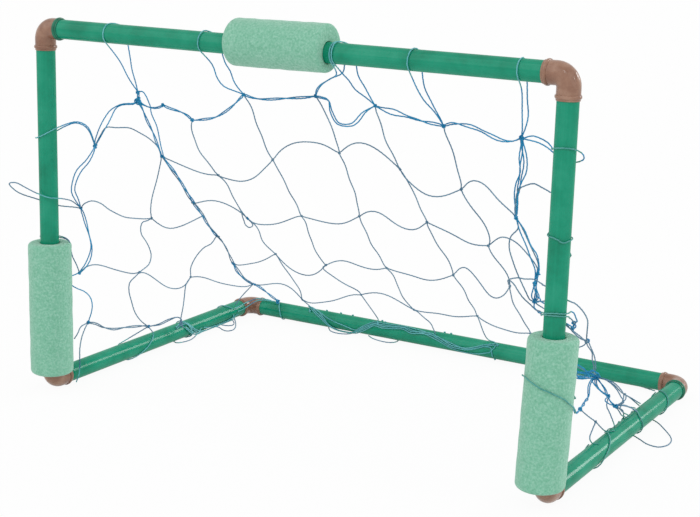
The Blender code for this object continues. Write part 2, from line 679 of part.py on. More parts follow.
def right_panel():
    panel = Panel(RIGHT_KNOTS)
    panel.swung(RIGHT_ROWS, Z_AXIS)
    panel.swung(RIGHT_COLUMNS, X_AXIS)
    panel.turns(RIGHT_RAIL_TURNS, X_AXIS * RIGHT, Y_AXIS)
    for knot, points in RIGHT_BIGHTS:
        panel.strand(knot, knot, off_pipe(RIGHT, points))
    knots = panel.knots
    post = X_AXIS * RIGHT
    rise = GOAL_HEIGHT / NET_FRAME[2]
    top, bottom = [height * rise for height in BUNCH_TURN_HEIGHTS]
    spiral = turn_round(knots["neck"], knots["bunch2"], post, Z_AXIS, top, bottom, past=Y_AXIS)
    panel.strand("neck", "bunch2", spiral)
    slack = [stretch(place) for place in FRONT_SLACK]
    enter, leave = [height * rise for height in FRONT_SLACK_HEIGHTS]
    wrap = turn_round(slack[-1], knots["post3"], post, Z_AXIS, enter, leave, past=-Y_AXIS)
    panel.strand("bunch1", "post3", slack + wrap)
    foot = knots["foot"]
    sleeve = FLOAT_RADIUS + FLOAT_WRAP_GAP + TWINE_RADIUS
    centre = post + Vector((*RIGHT_FLOAT_LEAN, 0)) * FLOAT_WRAP_LEAN
    around = turn_round(
        foot, foot, centre, Z_AXIS, *FLOAT_WRAP_HEIGHTS, sleeve, past=X_AXIS, points=FLOAT_WRAP_POINTS)
    panel.strand("foot", "foot", around)
    depth = GOAL_DEPTH / NET_FRAME[1]
    ground = [Vector((RIGHT + x, y * depth, -GROUND_DROP)) for x, y in GROUND_BIGHT]
    across = GROUND_BIGHT_OVER * depth
    back, out = [place * depth for place in GROUND_BIGHT_UNDER]
    over = turn_round(knots["tangle"], ground[0], post, Y_AXIS, across, across)
    under = turn_round(ground[-1], knots["rail"], post, Y_AXIS, back, out, past=-Z_AXIS)
    lead = [knots["tangle"].lerp(over[0], share) for share in GROUND_BIGHT_LEAD]
    panel.strand("tangle", "rail", lead + over + ground + under)
    return panel.mesh("net_right_side")


def axis_matrix(origin, along):
    """Place a piece that was made along +Z, with its +X as near the world's +X as it goes."""
    z_axis = along.normalized()
    hint = X_AXIS if abs(z_axis.x) < 0.9 else Y_AXIS
    y_axis = z_axis.cross(hint).normalized()
    x_axis = y_axis.cross(z_axis)
    return Matrix.Translation(origin) @ Matrix((x_axis, y_axis, z_axis)).transposed().to_4x4()


def add_pipes(parent, material):
    inset = BEND_RADIUS + FIT_GAP
    runs = {
        "crossbar_pipe": (Vector((LEFT, 0, GOAL_HEIGHT)), X_AXIS, GOAL_WIDTH),
        "rear_bar_pipe": (Vector((LEFT, GOAL_DEPTH, 0)), X_AXIS, GOAL_WIDTH),
        "left_upright_pipe": (Vector((LEFT, 0, 0)), Z_AXIS, GOAL_HEIGHT),
        "right_upright_pipe": (Vector((RIGHT, 0, 0)), Z_AXIS, GOAL_HEIGHT),
        "left_side_rail_pipe": (Vector((LEFT, 0, 0)), Y_AXIS, GOAL_DEPTH),
        "right_side_rail_pipe": (Vector((RIGHT, 0, 0)), Y_AXIS, GOAL_DEPTH),
    }
    for name, (corner, along, span) in runs.items():
        mesh = pipe_mesh(name, span - 2 * inset)
        add_object(name, mesh, material, parent, axis_matrix(corner + along * inset, along))


def add_elbows(parent, material):
    mesh = elbow_mesh("elbow")
    corners = {
        "elbow_top_left": (Vector((LEFT, 0, GOAL_HEIGHT)), X_AXIS, -Z_AXIS),
        "elbow_top_right": (Vector((RIGHT, 0, GOAL_HEIGHT)), -X_AXIS, -Z_AXIS),
        "elbow_front_left": (Vector((LEFT, 0, 0)), Z_AXIS, Y_AXIS),
        "elbow_front_right": (Vector((RIGHT, 0, 0)), Z_AXIS, Y_AXIS),
        "elbow_rear_left": (Vector((LEFT, GOAL_DEPTH, 0)), X_AXIS, -Y_AXIS),
        "elbow_rear_right": (Vector((RIGHT, GOAL_DEPTH, 0)), -X_AXIS, -Y_AXIS),
    }
    for name, (corner, first, second) in corners.items():
        turn = Matrix((first, second, first.cross(second))).transposed().to_4x4()
        add_object(name, mesh, material, parent, Matrix.Translation(corner) @ turn)


def add_crossbar_float(parent, material):
    """Its outside lies above the bore, a little more at its right end."""
    start, end = CROSSBAR_FLOAT_LIFT
    mesh = float_mesh("crossbar_float", CROSSBAR_FLOAT_LENGTH, (start, 0, 0), (end, 0, 0))
    origin = Vector((FLOAT_LEFT_END, 0, GOAL_HEIGHT))
    turn = Matrix((Z_AXIS, -Y_AXIS, X_AXIS)).transposed().to_4x4()
    add_object("crossbar_float", mesh, material, parent, Matrix.Translation(origin) @ turn)


def add_upright_float(name, x, length, lean, parent, material):
    """A sleeve pushed down over the front elbow, with a notch for the elbow's rear arm."""
    foot = ELBOW_REACH + FIT_GAP - FLOAT_ELBOW_OVERLAP
    mesh = float_mesh(name, length, (*lean, 0), (0, 0, 0), FLOAT_ELBOW_OVERLAP)
    sleeve = add_object(name, mesh, material, parent, Matrix.Translation((x, 0, foot)))
    bm = bmesh.new()
    bmesh.ops.create_cone(
        bm, cap_ends=True, segments=ROUND_SIDES, radius1=FLOAT_CUP_RADIUS, radius2=FLOAT_CUP_RADIUS,
        depth=2 * FLOAT_RADIUS)
    bmesh.ops.rotate(bm, verts=bm.verts, matrix=Matrix.Rotation(math.pi / 2, 3, "X"))
    bmesh.ops.translate(bm, verts=bm.verts, vec=(0, FLOAT_RADIUS, -foot))
    cutter_mesh = bpy.data.meshes.new(name + "_notch")
    bm.to_mesh(cutter_mesh)
    bm.free()
    cutter = add_object(name + "_notch", cutter_mesh, material, parent, Matrix.Translation((x, 0, foot)))
    cutter.hide_render = True
    cutter.display_type = "WIRE"
    cut = sleeve.modifiers.new("notch", "BOOLEAN")
    cut.operation = "DIFFERENCE"
    cut.solver = "EXACT"
    cut.object = cutter


def stand_on_floor(carrier):
    """Move the goal so that its box is centred on X and Y and its lowest point is at z = 0."""
    bpy.context.view_layer.update()
    low = Vector((math.inf,) * 3)
    high = Vector((-math.inf,) * 3)
    for piece in carrier.children:
        if piece.display_type == "WIRE":
            continue
        for vertex in piece.data.vertices:
            point = piece.matrix_world @ vertex.co
            low = Vector(map(min, low, point))
            high = Vector(map(max, high, point))
    carrier.location = (-(low.x + high.x) / 2, -(low.y + high.y) / 2, -low.z)
    bpy.context.view_layer.update()


def build():
    for item in list(bpy.data.objects):
        bpy.data.objects.remove(item, do_unlink=True)
    carrier = bpy.data.objects.new("goal", None)
    bpy.context.scene.collection.objects.link(carrier)
    green = principled("green_pipe", (0.032, 0.314, 0.184), 0.35)
    elbow = principled("elbow_plastic", (0.30, 0.19, 0.14), 0.30)
    foam = principled("green_foam", (0.223, 0.497, 0.352), 0.85)
    twine = principled("blue_twine", (0.032, 0.205, 0.515), 0.75)
    add_pipes(carrier, green)
    add_elbows(carrier, elbow)
    add_crossbar_float(carrier, foam)
    add_upright_float("left_upright_float", LEFT, LEFT_FLOAT_LENGTH, (0.0, 0.0), carrier, foam)
    add_upright_float("right_upright_float", RIGHT, RIGHT_FLOAT_LENGTH, RIGHT_FLOAT_LEAN, carrier, foam)
    for panel in (back_panel, left_panel, right_panel):
        mesh = panel()
        add_object(mesh.name, mesh, twine, carrier, Matrix.Identity(4))
    stand_on_floor(carrier)


build()
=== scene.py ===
"""Looks of the floating pool goal: plastic pipes, moulded elbows, foam floats and a twine net.

Lengths are in metres, in the frame's axes. The net is laid out as the frame's source lays it
out: from the middle of the mouth, at the height of the ground pipes' axes. ORIGIN moves it.
"""
import math

import bmesh
import bpy
import numpy as np
from mathutils import Matrix, Vector


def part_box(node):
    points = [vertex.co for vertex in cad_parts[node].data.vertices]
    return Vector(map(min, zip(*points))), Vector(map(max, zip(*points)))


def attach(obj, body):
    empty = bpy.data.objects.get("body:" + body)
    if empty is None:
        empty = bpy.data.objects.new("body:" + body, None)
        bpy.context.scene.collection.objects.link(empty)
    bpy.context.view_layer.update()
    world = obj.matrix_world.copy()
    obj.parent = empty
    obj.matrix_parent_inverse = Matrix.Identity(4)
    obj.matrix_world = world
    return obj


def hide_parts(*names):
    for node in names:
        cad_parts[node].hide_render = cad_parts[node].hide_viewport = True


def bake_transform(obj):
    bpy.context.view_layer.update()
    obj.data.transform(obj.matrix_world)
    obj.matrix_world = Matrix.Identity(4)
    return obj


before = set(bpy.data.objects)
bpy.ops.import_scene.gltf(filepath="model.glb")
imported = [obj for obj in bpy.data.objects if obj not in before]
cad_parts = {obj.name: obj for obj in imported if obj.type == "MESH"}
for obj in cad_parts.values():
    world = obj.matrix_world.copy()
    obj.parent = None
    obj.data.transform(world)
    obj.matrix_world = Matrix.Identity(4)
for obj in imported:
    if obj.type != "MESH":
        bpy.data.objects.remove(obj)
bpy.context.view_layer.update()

# Sizes of the frame, between the axes of its pipes
GOAL_WIDTH = 0.880
GOAL_HEIGHT = 0.576
GOAL_DEPTH = 0.576
PIPE_RADIUS = 0.0150
PIPE_BORE_RADIUS = 0.0128
PIPE_SIDES = 64
LEFT = -GOAL_WIDTH / 2
RIGHT = GOAL_WIDTH / 2

# Elbow
ELBOW_RADIUS = 0.0163
BEND_RADIUS = 0.0173
ELBOW_REACH = 0.0345
SOCKET_RADIUS = 0.0153
SOCKET_DEPTH = 0.0172
BEND_BORE_RADIUS = 0.0128
LIP_ROUND = 0.0005
BEAD_INSET = 0.0028
BEAD_HEIGHT = 0.00165
BEAD_WIDTH = 0.0050
BEAD_STEPS = 10
ELBOW_SIDES = 48
BEND_STEPS = 16

# A power below 1 makes the bead fuller than a half sine
BEAD_FULLNESS = 0.7

# Foam floats: the foam's outside is a little uneven, and inset by nearly as much
FLOAT_RADIUS = 0.035
FLOAT_BORE_RADIUS = 0.0155
FLOAT_BORE_ROUND = 0.0025
FLOAT_SIDES = 96
FLOAT_STEPS = 60
FLOAT_ROUND_STEPS = 8
FOAM_UNEVEN = 0.00035
FOAM_INSET = 0.0003

# A small round, on an elbow's lip or at the mouth of a float's bore, has this many flats
SMALL_ROUND_STEPS = 3

# Edges sharper than this stay sharp in the smooth shading
SHARP_DEGREES = 50

# Twine: its radius, the pitch of its lay, how far out the valleys between its plies are, as a
# share of that radius, and how closely its centre line is stepped
TWINE_RADIUS = 0.0012
TWINE_PITCH = 0.0062
TWINE_PLIES = 3
TWINE_VALLEY = 0.68
TWINE_STEP = 0.0016

# Gaps between twine and the bar that it is wound on, and between twine and a float
WIND_GAP = 0.0002
WRAP_GAP = 0.0006

# How far a slack strand wavers off its route, and one whose route is closely chosen. The waver
# grows over the fade at each end, is whole from the full length on, and its two cross
# directions swing at the two rates, in radians a metre
WAVER = 0.0007
SMALL_WAVER = 0.0003
WAVER_FADE = 0.012
WAVER_FULL_LENGTH = 0.05
WAVER_RATES = (95, 71)

# Two twines side by side: how far each is from their middle, the length in which they turn half
# round each other, how far they part where they open, by how much that differs from pair to
# pair, and the length at each end where they gather, down to the least share
PAIR_REACH = 1.1 * TWINE_RADIUS
PAIR_HALF_TURN = 0.050
OPENING = 0.0020
OPENING_DIFFERS = 0.0008
GATHER_LENGTH = 0.005
GATHER_LEAST = 0.3

# Half the angle between two twines that lie side by side round a bar
PAIR_DEGREES = 5.5

# A turn over the crossbar: its points in a full round, and the share of it that goes straight
# round before it runs along the bar
TURN_POINTS = 26
TURN_SQUARE = 0.55

# Points inside a strand that swings off its straight line, and the most degrees between two
# places of twine wound on a bar
SWING_POINTS = 9
WIND_DEGREES = 15

X_AXIS = Vector((1, 0, 0))
Y_AXIS = Vector((0, 1, 0))
Z_AXIS = Vector((0, 0, 1))


def box_centre(node):
    low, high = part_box(node)
    return (low + high) / 2


ORIGIN = box_centre("crossbar_pipe") - Vector((0, 0, GOAL_HEIGHT))


def placed(place, first, second, third):
    """A matrix that moves to a place, with X, Y and Z along three directions."""
    return Matrix.Translation(place) @ Matrix((first, second, third)).transposed().to_4x4()


# The photograph's camera: its place from ORIGIN, the directions of its picture, and from how
# near to how far it sees
PHOTO_WIDTH = 700
FOCAL_PIXELS = 1514.2
SENSOR_WIDTH = 36.0
CAMERA_PLACE = Vector((1.1779, -1.8167, 0.7935))
CAMERA_RIGHT = Vector((0.86108, 0.50777, 0.02656))
CAMERA_DOWN = Vector((0.14143, -0.18900, -0.97174))
CAMERA_FORWARD = Vector((-0.48840, 0.84050, -0.23456))
CAMERA_REACH = (0.05, 100.0)


def add_camera():
    data = bpy.data.cameras.new("camera")
    data.sensor_width = SENSOR_WIDTH
    data.lens = FOCAL_PIXELS * SENSOR_WIDTH / PHOTO_WIDTH
    data.clip_start, data.clip_end = CAMERA_REACH
    camera = bpy.data.objects.new("camera", data)
    bpy.context.scene.collection.objects.link(camera)
    camera.matrix_world = placed(ORIGIN + CAMERA_PLACE, CAMERA_RIGHT, -CAMERA_DOWN, -CAMERA_FORWARD)
    bpy.context.scene.camera = camera


def linear(red, green, blue):
    """A screen colour of 0 to 255 as linear light."""
    def one(value):
        share = value / 255
        return share / 12.92 if share <= 0.04045 else ((share + 0.055) / 1.055) ** 2.4
    return (one(red), one(green), one(blue), 1.0)


class Shader:
    """A material under construction: its nodes and the links between them."""

    def __init__(self, name):
        self.material = bpy.data.materials.new(name)
        self.material.use_nodes = True
        self.tree = self.material.node_tree
        self.principled = self.tree.nodes["Principled BSDF"]

    def node(self, kind, **values):
        """A new node, its inputs and settings given by name."""
        made = self.tree.nodes.new(kind)
        for name, value in values.items():
            if name in made.inputs:
                made.inputs[name].default_value = value
            else:
                setattr(made, name, value)
        return made

    def link(self, source, target):
        self.tree.links.new(source, target)

    def feed(self, name, source):
        """Drive one value of the material by a node's output."""
        self.link(source, self.principled.inputs[name])

    def set(self, **values):
        for name, value in values.items():
            self.principled.inputs[name.replace("_", " ")].default_value = value

    def coordinates(self, scale=(1, 1, 1), kind="Object"):
        where = self.node("ShaderNodeTexCoord")
        mapping = self.node("ShaderNodeMapping", Scale=scale)
        self.link(where.outputs[kind], mapping.inputs["Vector"])
        return mapping.outputs["Vector"]

    def noise(self, vector, scale, detail=2.0, roughness=0.5):
        made = self.node("ShaderNodeTexNoise", Scale=scale, Detail=detail, Roughness=roughness)
        self.link(vector, made.inputs["Vector"])
        return made.outputs["Fac"]

    def ramp(self, source, *stops):
        made = self.node("ShaderNodeValToRGB")
        elements = made.color_ramp.elements
        while len(elements) < len(stops):
            elements.new(0.5)
        for element, (place, colour) in zip(elements, stops):
            element.position = place
            element.color = colour
        self.link(source, made.inputs["Fac"])
        return made.outputs["Color"]

    def spread(self, source, low, high):
        """The middle range of a noise, spread from low to high."""
        limits = {"From Min": 0.3, "From Max": 0.7, "To Min": low, "To Max": high}
        made = self.node("ShaderNodeMapRange", **limits)
        self.link(source, made.inputs["Value"])
        return made.outputs["Result"]

    def add(self, first, second, share):
        """One value and a share of another."""
        made = self.node("ShaderNodeMath", operation="MULTIPLY_ADD")
        self.link(second, made.inputs[0])
        made.inputs[1].default_value = share
        self.link(first, made.inputs[2])
        return made.outputs["Value"]

    def bump(self, height, strength, distance):
        made = self.node("ShaderNodeBump", Strength=strength, Distance=distance)
        self.link(height, made.inputs["Height"])
        self.feed("Normal", made.outputs["Normal"])


PIPE_GREEN = linear(22, 148, 115)
PIPE_DARK = linear(16, 132, 101)
PIPE_PALE = linear(46, 160, 128)
ELBOW_BROWN = linear(152, 114, 94)
ELBOW_DARK = linear(136, 98, 80)
ELBOW_PALE = linear(168, 132, 112)
LIP_GREEN = linear(30, 120, 92)
LIP_DARK = linear(22, 92, 72)
FOAM_GREEN = linear(130, 194, 166)
FOAM_DARK = linear(112, 182, 150)
FOAM_PALE = linear(154, 208, 184)
TWINE_BLUE = linear(24, 146, 198)
TWINE_DARK = linear(14, 110, 162)
TWINE_PALE = linear(70, 178, 224)
MESH_GREY = linear(92, 137, 166)
MESH_DARK = linear(62, 108, 140)
MESH_PALE = linear(134, 172, 194)
LYING_GREEN = linear(98, 184, 188)
LYING_DARK = linear(74, 162, 168)
LYING_PALE = linear(130, 208, 210)
# Darker copies of the lying twine's colours, for the right side and the loop round the right float: painted
# shade
SHADED_LYING_GREEN = linear(82, 162, 154)
SHADED_LYING_DARK = linear(58, 142, 134)
SHADED_LYING_PALE = linear(112, 190, 180)


def pipe_material(name, axis):
    """Extruded plastic: faint lines along the pipe, soft cloudiness and a satin gloss."""
    shader = Shader(name)
    along = [260.0, 260.0, 260.0]
    along[axis] = 3.0
    lines = shader.noise(shader.coordinates(along), scale=1.0)
    where = shader.coordinates()
    clouds = shader.noise(where, scale=22.0, detail=4.0, roughness=0.6)
    sheen = shader.noise(where, scale=14.0, detail=0.0)
    mixed = shader.add(clouds, lines, 0.25)
    colour = shader.ramp(mixed, (0.42, PIPE_DARK), (0.63, PIPE_GREEN), (0.90, PIPE_PALE))
    shader.feed("Base Color", colour)
    shader.feed("Roughness", shader.spread(sheen, 0.26, 0.34))
    shader.bump(lines, strength=0.03, distance=0.0005)
    shader.set(IOR=1.5, Specular_IOR_Level=0.0, Coat_Weight=0.4, Coat_Roughness=0.14, Coat_IOR=1.5)
    return shader.material


def lip_material():
    """The green of two elbows' mouths."""
    shader = Shader("green_lip")
    marks = shader.noise(shader.coordinates(), scale=90.0, detail=3.0)
    shader.feed("Base Color", shader.ramp(marks, (0.3, LIP_DARK), (0.6, LIP_GREEN)))
    shader.set(Roughness=0.3, Specular_IOR_Level=0.3)
    return shader.material


def elbow_material():
    """Moulded plastic: a glossy brown with flow marks and a fine grain."""
    shader = Shader("elbow_plastic")
    where = shader.coordinates()
    marks = shader.noise(where, scale=55.0, detail=4.0, roughness=0.6)
    grain = shader.noise(where, scale=700.0)
    colour = shader.ramp(marks, (0.34, ELBOW_DARK), (0.52, ELBOW_BROWN), (0.72, ELBOW_PALE))
    shader.feed("Base Color", colour)
    shader.feed("Roughness", shader.spread(marks, 0.17, 0.23))
    shader.bump(shader.add(grain, marks, 2.0), strength=0.06, distance=0.0006)
    shader.set(IOR=1.5, Specular_IOR_Level=0.35)
    return shader.material


def foam_material():
    """Closed-cell foam: mottled pale green with small cells and a soft edge."""
    shader = Shader("float_foam")
    where = shader.coordinates()
    mottle = shader.noise(where, scale=300.0, detail=3.0, roughness=0.6)
    patches = shader.noise(where, scale=30.0, detail=3.0)
    mixed = shader.add(mottle, patches, 0.12)
    shader.feed("Base Color", shader.ramp(mixed, (0.38, FOAM_DARK), (0.56, FOAM_GREEN), (0.76, FOAM_PALE)))
    cells = shader.node("ShaderNodeTexVoronoi", Scale=520.0)
    shader.link(where, cells.inputs["Vector"])
    shader.bump(shader.add(cells.outputs["Distance"], mottle, 1.2), strength=0.45, distance=0.0012)
    shader.set(Roughness=0.9, Sheen_Weight=0.35, Sheen_Roughness=0.5)
    return shader.material


def twine_material(name, dark, middle, pale):
    """Twisted plastic yarn: its fibres paler and darker along the lay."""
    shader = Shader(name)
    fibres = shader.noise(shader.coordinates((18.0, 9.0, 1.0), "UV"), scale=1.0, detail=3.0, roughness=0.6)
    patches = shader.noise(shader.coordinates(), scale=30.0, detail=3.0)
    mixed = shader.add(fibres, patches, 0.6)
    shader.feed("Base Color", shader.ramp(mixed, (0.55, dark), (0.78, middle), (1.0, pale)))
    shader.bump(fibres, strength=0.5, distance=0.0004)
    shader.set(Roughness=0.6, Specular_IOR_Level=0.25, Sheen_Weight=0.1, Sheen_Roughness=0.4)
    return shader.material


def add_piece(name, mesh, materials, place=None):
    """A piece of the goal, at a place given as a matrix or as its mesh lies."""
    piece = bpy.data.objects.new(name, mesh)
    bpy.context.scene.collection.objects.link(piece)
    if not mesh.materials:
        for material in materials:
            mesh.materials.append(material)
    if place:
        piece.matrix_world = place
    return piece


def ring(centre, radius, first, second, sides):
    points = []
    for step in range(sides):
        angle = 2 * math.pi * step / sides
        points.append(centre + radius * (math.cos(angle) * first + math.sin(angle) * second))
    return points


def quarter_round(size, steps):
    """Distances back from an end and in from a side, round the edge between them."""
    angles = [math.pi / 2 * step / steps for step in range(steps + 1)]
    return [(size * (1 - math.cos(angle)), size * (1 - math.sin(angle))) for angle in angles]


def loft(name, rings):
    """A closed mesh through rings of points, the last of them joined to the first."""
    bm = bmesh.new()
    loops = [[bm.verts.new(point) for point in points] for points in rings]
    for loop, following in zip(loops, loops[1:] + loops[:1]):
        for step in range(len(loop)):
            after = (step + 1) % len(loop)
            bm.faces.new((loop[step], loop[after], following[after], following[step]))
    mesh = bpy.data.meshes.new(name)
    bm.to_mesh(mesh)
    bm.free()
    mesh.shade_smooth()
    mesh.set_sharp_from_angle(angle=math.radians(SHARP_DEGREES))
    return mesh


def add_pipes():
    """Smooth pipes in place of the frame's many-sided ones, their lines running along each."""
    materials = [pipe_material("green_pipe_" + letter, axis) for axis, letter in enumerate("xyz")]
    axes = {"crossbar_pipe": 0, "rear_bar_pipe": 0, "left_side_rail_pipe": 1,
            "right_side_rail_pipe": 1, "left_upright_pipe": 2, "right_upright_pipe": 2}
    for name, axis in axes.items():
        low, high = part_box(name)
        along = (X_AXIS, Y_AXIS, Z_AXIS)[axis]
        first = (Y_AXIS, Z_AXIS, X_AXIS)[axis]
        reach = (high - low)[axis] / 2
        section = [(-reach, PIPE_BORE_RADIUS), (-reach, PIPE_RADIUS),
                   (reach, PIPE_RADIUS), (reach, PIPE_BORE_RADIUS)]
        rings = [ring(along * place, radius, first, along.cross(first), PIPE_SIDES)
                 for place, radius in section]
        tube = loft(name + "_tube", rings)
        place = Matrix.Translation(box_centre(name))
        piece = add_piece(name + "_tube", tube, [materials[axis]], place)
        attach(piece, "root")
        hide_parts(name)


def bead_profile():
    """Distances along an arm and radii from the rounded lip inwards, over the bead."""
    profile = [(ELBOW_REACH - back, ELBOW_RADIUS - drop)
               for back, drop in quarter_round(LIP_ROUND, SMALL_ROUND_STEPS)]
    for step in range(BEAD_STEPS + 1):
        angle = math.pi * step / BEAD_STEPS
        place = ELBOW_REACH - BEAD_INSET - BEAD_WIDTH * (1 - math.cos(angle)) / 2
        profile.append((place, ELBOW_RADIUS + BEAD_HEIGHT * math.sin(angle) ** BEAD_FULLNESS))
    return profile


def elbow_mesh(name):
    """A moulded elbow with arms along +X and +Y and a rounded bead at each mouth."""
    outer_arm = bead_profile()
    stop = ELBOW_REACH - SOCKET_DEPTH
    inner_arm = [(ELBOW_REACH, SOCKET_RADIUS), (stop, SOCKET_RADIUS), (stop, BEND_BORE_RADIUS)]

    def arm_a(distance, radius):
        return ring(X_AXIS * distance, radius, -Y_AXIS, Z_AXIS, ELBOW_SIDES)

    def arm_b(distance, radius):
        return ring(Y_AXIS * distance, radius, -X_AXIS, Z_AXIS, ELBOW_SIDES)

    def bend(radius):
        rings = []
        for step in range(BEND_STEPS + 1):
            turn = math.pi / 2 * step / BEND_STEPS
            outward = Vector((-math.sin(turn), -math.cos(turn), 0))
            centre = Vector((BEND_RADIUS, BEND_RADIUS, 0)) + BEND_RADIUS * outward
            rings.append(ring(centre, radius, outward, Z_AXIS, ELBOW_SIDES))
        return rings

    outside = [arm_a(*at) for at in outer_arm] + bend(ELBOW_RADIUS)
    outside += [arm_b(*at) for at in reversed(outer_arm)]
    inside = [arm_b(*at) for at in inner_arm]
    inside += list(reversed(bend(BEND_BORE_RADIUS)))[1:-1]
    inside += [arm_a(*at) for at in reversed(inner_arm)]
    return loft(name, outside + inside)


def green_mouth(mesh, along):
    """A copy of the elbow whose mouth along one arm is green."""
    copy = mesh.copy()
    start = ELBOW_REACH - BEAD_INSET - BEAD_WIDTH
    for face in copy.polygons:
        if face.center.dot(along) > start:
            face.material_index = 1
    return copy


def add_elbows(material, lip):
    mesh = elbow_mesh("elbow_shell")
    corners = {
        "elbow_top_left": (Vector((LEFT, 0, GOAL_HEIGHT)), X_AXIS, -Z_AXIS),
        "elbow_top_right": (Vector((RIGHT, 0, GOAL_HEIGHT)), -X_AXIS, -Z_AXIS),
        "elbow_front_left": (Vector((LEFT, 0, 0)), Z_AXIS, Y_AXIS),
        "elbow_front_right": (Vector((RIGHT, 0, 0)), Z_AXIS, Y_AXIS),
        "elbow_rear_left": (Vector((LEFT, GOAL_DEPTH, 0)), X_AXIS, -Y_AXIS),
        "elbow_rear_right": (Vector((RIGHT, GOAL_DEPTH, 0)), -X_AXIS, -Y_AXIS),
    }
    green = {"elbow_top_left": X_AXIS, "elbow_rear_right": Y_AXIS}
    for name, (corner, first, second) in corners.items():
        own = green_mouth(mesh, green[name]) if name in green else mesh
        place = placed(ORIGIN + corner, first, second, first.cross(second))
        piece = add_piece(name + "_moulding", own, [material, lip], place)
        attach(piece, "root")
        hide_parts(name)


def wave(seed, *phases):
    """A smooth number from -1 to 1 that wanders with the phases, the same each run."""
    total = 0.0
    for index, phase in enumerate(phases):
        total += math.sin(phase + 1.7 * seed + 2.3 * index)
    return total / len(phases)


def float_mesh(name, length, start_shift, end_shift, rounds, seed):
    """A foam sleeve along +Z, softly uneven, whose outside may lie off its bore at each end."""
    start, end = [[(height, FLOAT_RADIUS - drop) for height, drop in quarter_round(size, FLOAT_ROUND_STEPS)]
                  for size in rounds]
    run = length - sum(rounds)
    middle = [(rounds[0] + run * step / FLOAT_STEPS, FLOAT_RADIUS) for step in range(1, FLOAT_STEPS)]
    rings = []
    for height, radius in start + middle + [(length - height, radius) for height, radius in reversed(end)]:
        share = height / length
        centre = Z_AXIS * height + start_shift * (1 - share) + end_shift * share
        outline = []
        for step in range(FLOAT_SIDES):
            angle = 2 * math.pi * step / FLOAT_SIDES
            uneven = wave(seed, 2 * angle + 30 * share, 3 * angle - 17 * share, 5 * angle + 41 * share)
            reach = radius - FOAM_INSET + FOAM_UNEVEN * uneven
            outline.append(centre + reach * (math.cos(angle) * X_AXIS + math.sin(angle) * Y_AXIS))
        rings.append(outline)
    mouth = [(height, FLOAT_BORE_RADIUS + rise)
             for height, rise in quarter_round(FLOAT_BORE_ROUND, SMALL_ROUND_STEPS)]
    bore = [(length - height, radius) for height, radius in mouth]
    bore += [(length * share, FLOAT_BORE_RADIUS) for share in (0.75, 0.5, 0.25)]
    bore += reversed(mouth)
    rings += [ring(Z_AXIS * height, radius, X_AXIS, Y_AXIS, FLOAT_SIDES) for height, radius in bore]
    return loft(name, rings)


# The floats, by the pipe that each is on: a place on the pipe's axis, where the foam's X, Y and
# Z point, how far its outside is off its bore at its start and its end, the sizes of the rounds
# there, and a seed for its unevenness
PLAIN_ROUNDS = (0.006, 0.006)
CENTRED = Vector((0, 0, 0))
RIGHT_FLOAT_LEAN = Vector((-0.004, -0.008, 0))
FLOATS = {
    "crossbar": (Z_AXIS * GOAL_HEIGHT, (Z_AXIS, -Y_AXIS, X_AXIS), 0.004 * X_AXIS, 0.006 * X_AXIS,
                 (0.009, 0.0045), 1),
    "left_upright": (X_AXIS * LEFT, (X_AXIS, Y_AXIS, Z_AXIS), CENTRED, CENTRED, PLAIN_ROUNDS, 5),
    "right_upright": (X_AXIS * RIGHT, (X_AXIS, Y_AXIS, Z_AXIS), RIGHT_FLOAT_LEAN, CENTRED, PLAIN_ROUNDS, 6),
}


def add_floats(material):
    for pipe, (place, axes, *form) in FLOATS.items():
        low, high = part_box(pipe + "_float")
        along = axes[2]
        start = ORIGIN + place
        start += along * (low - start).dot(along)
        mesh = float_mesh(pipe + "_foam", (high - low).dot(along), *form)
        piece = add_piece(pipe + "_foam", mesh, [material], placed(start, *axes))
        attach(piece, pipe + "_float")
        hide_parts(pipe + "_float")


# How a stretch is tied: one twine, two that lie close, or two that open apart
ONE, PAIR, OPEN = "one", "pair", "open"

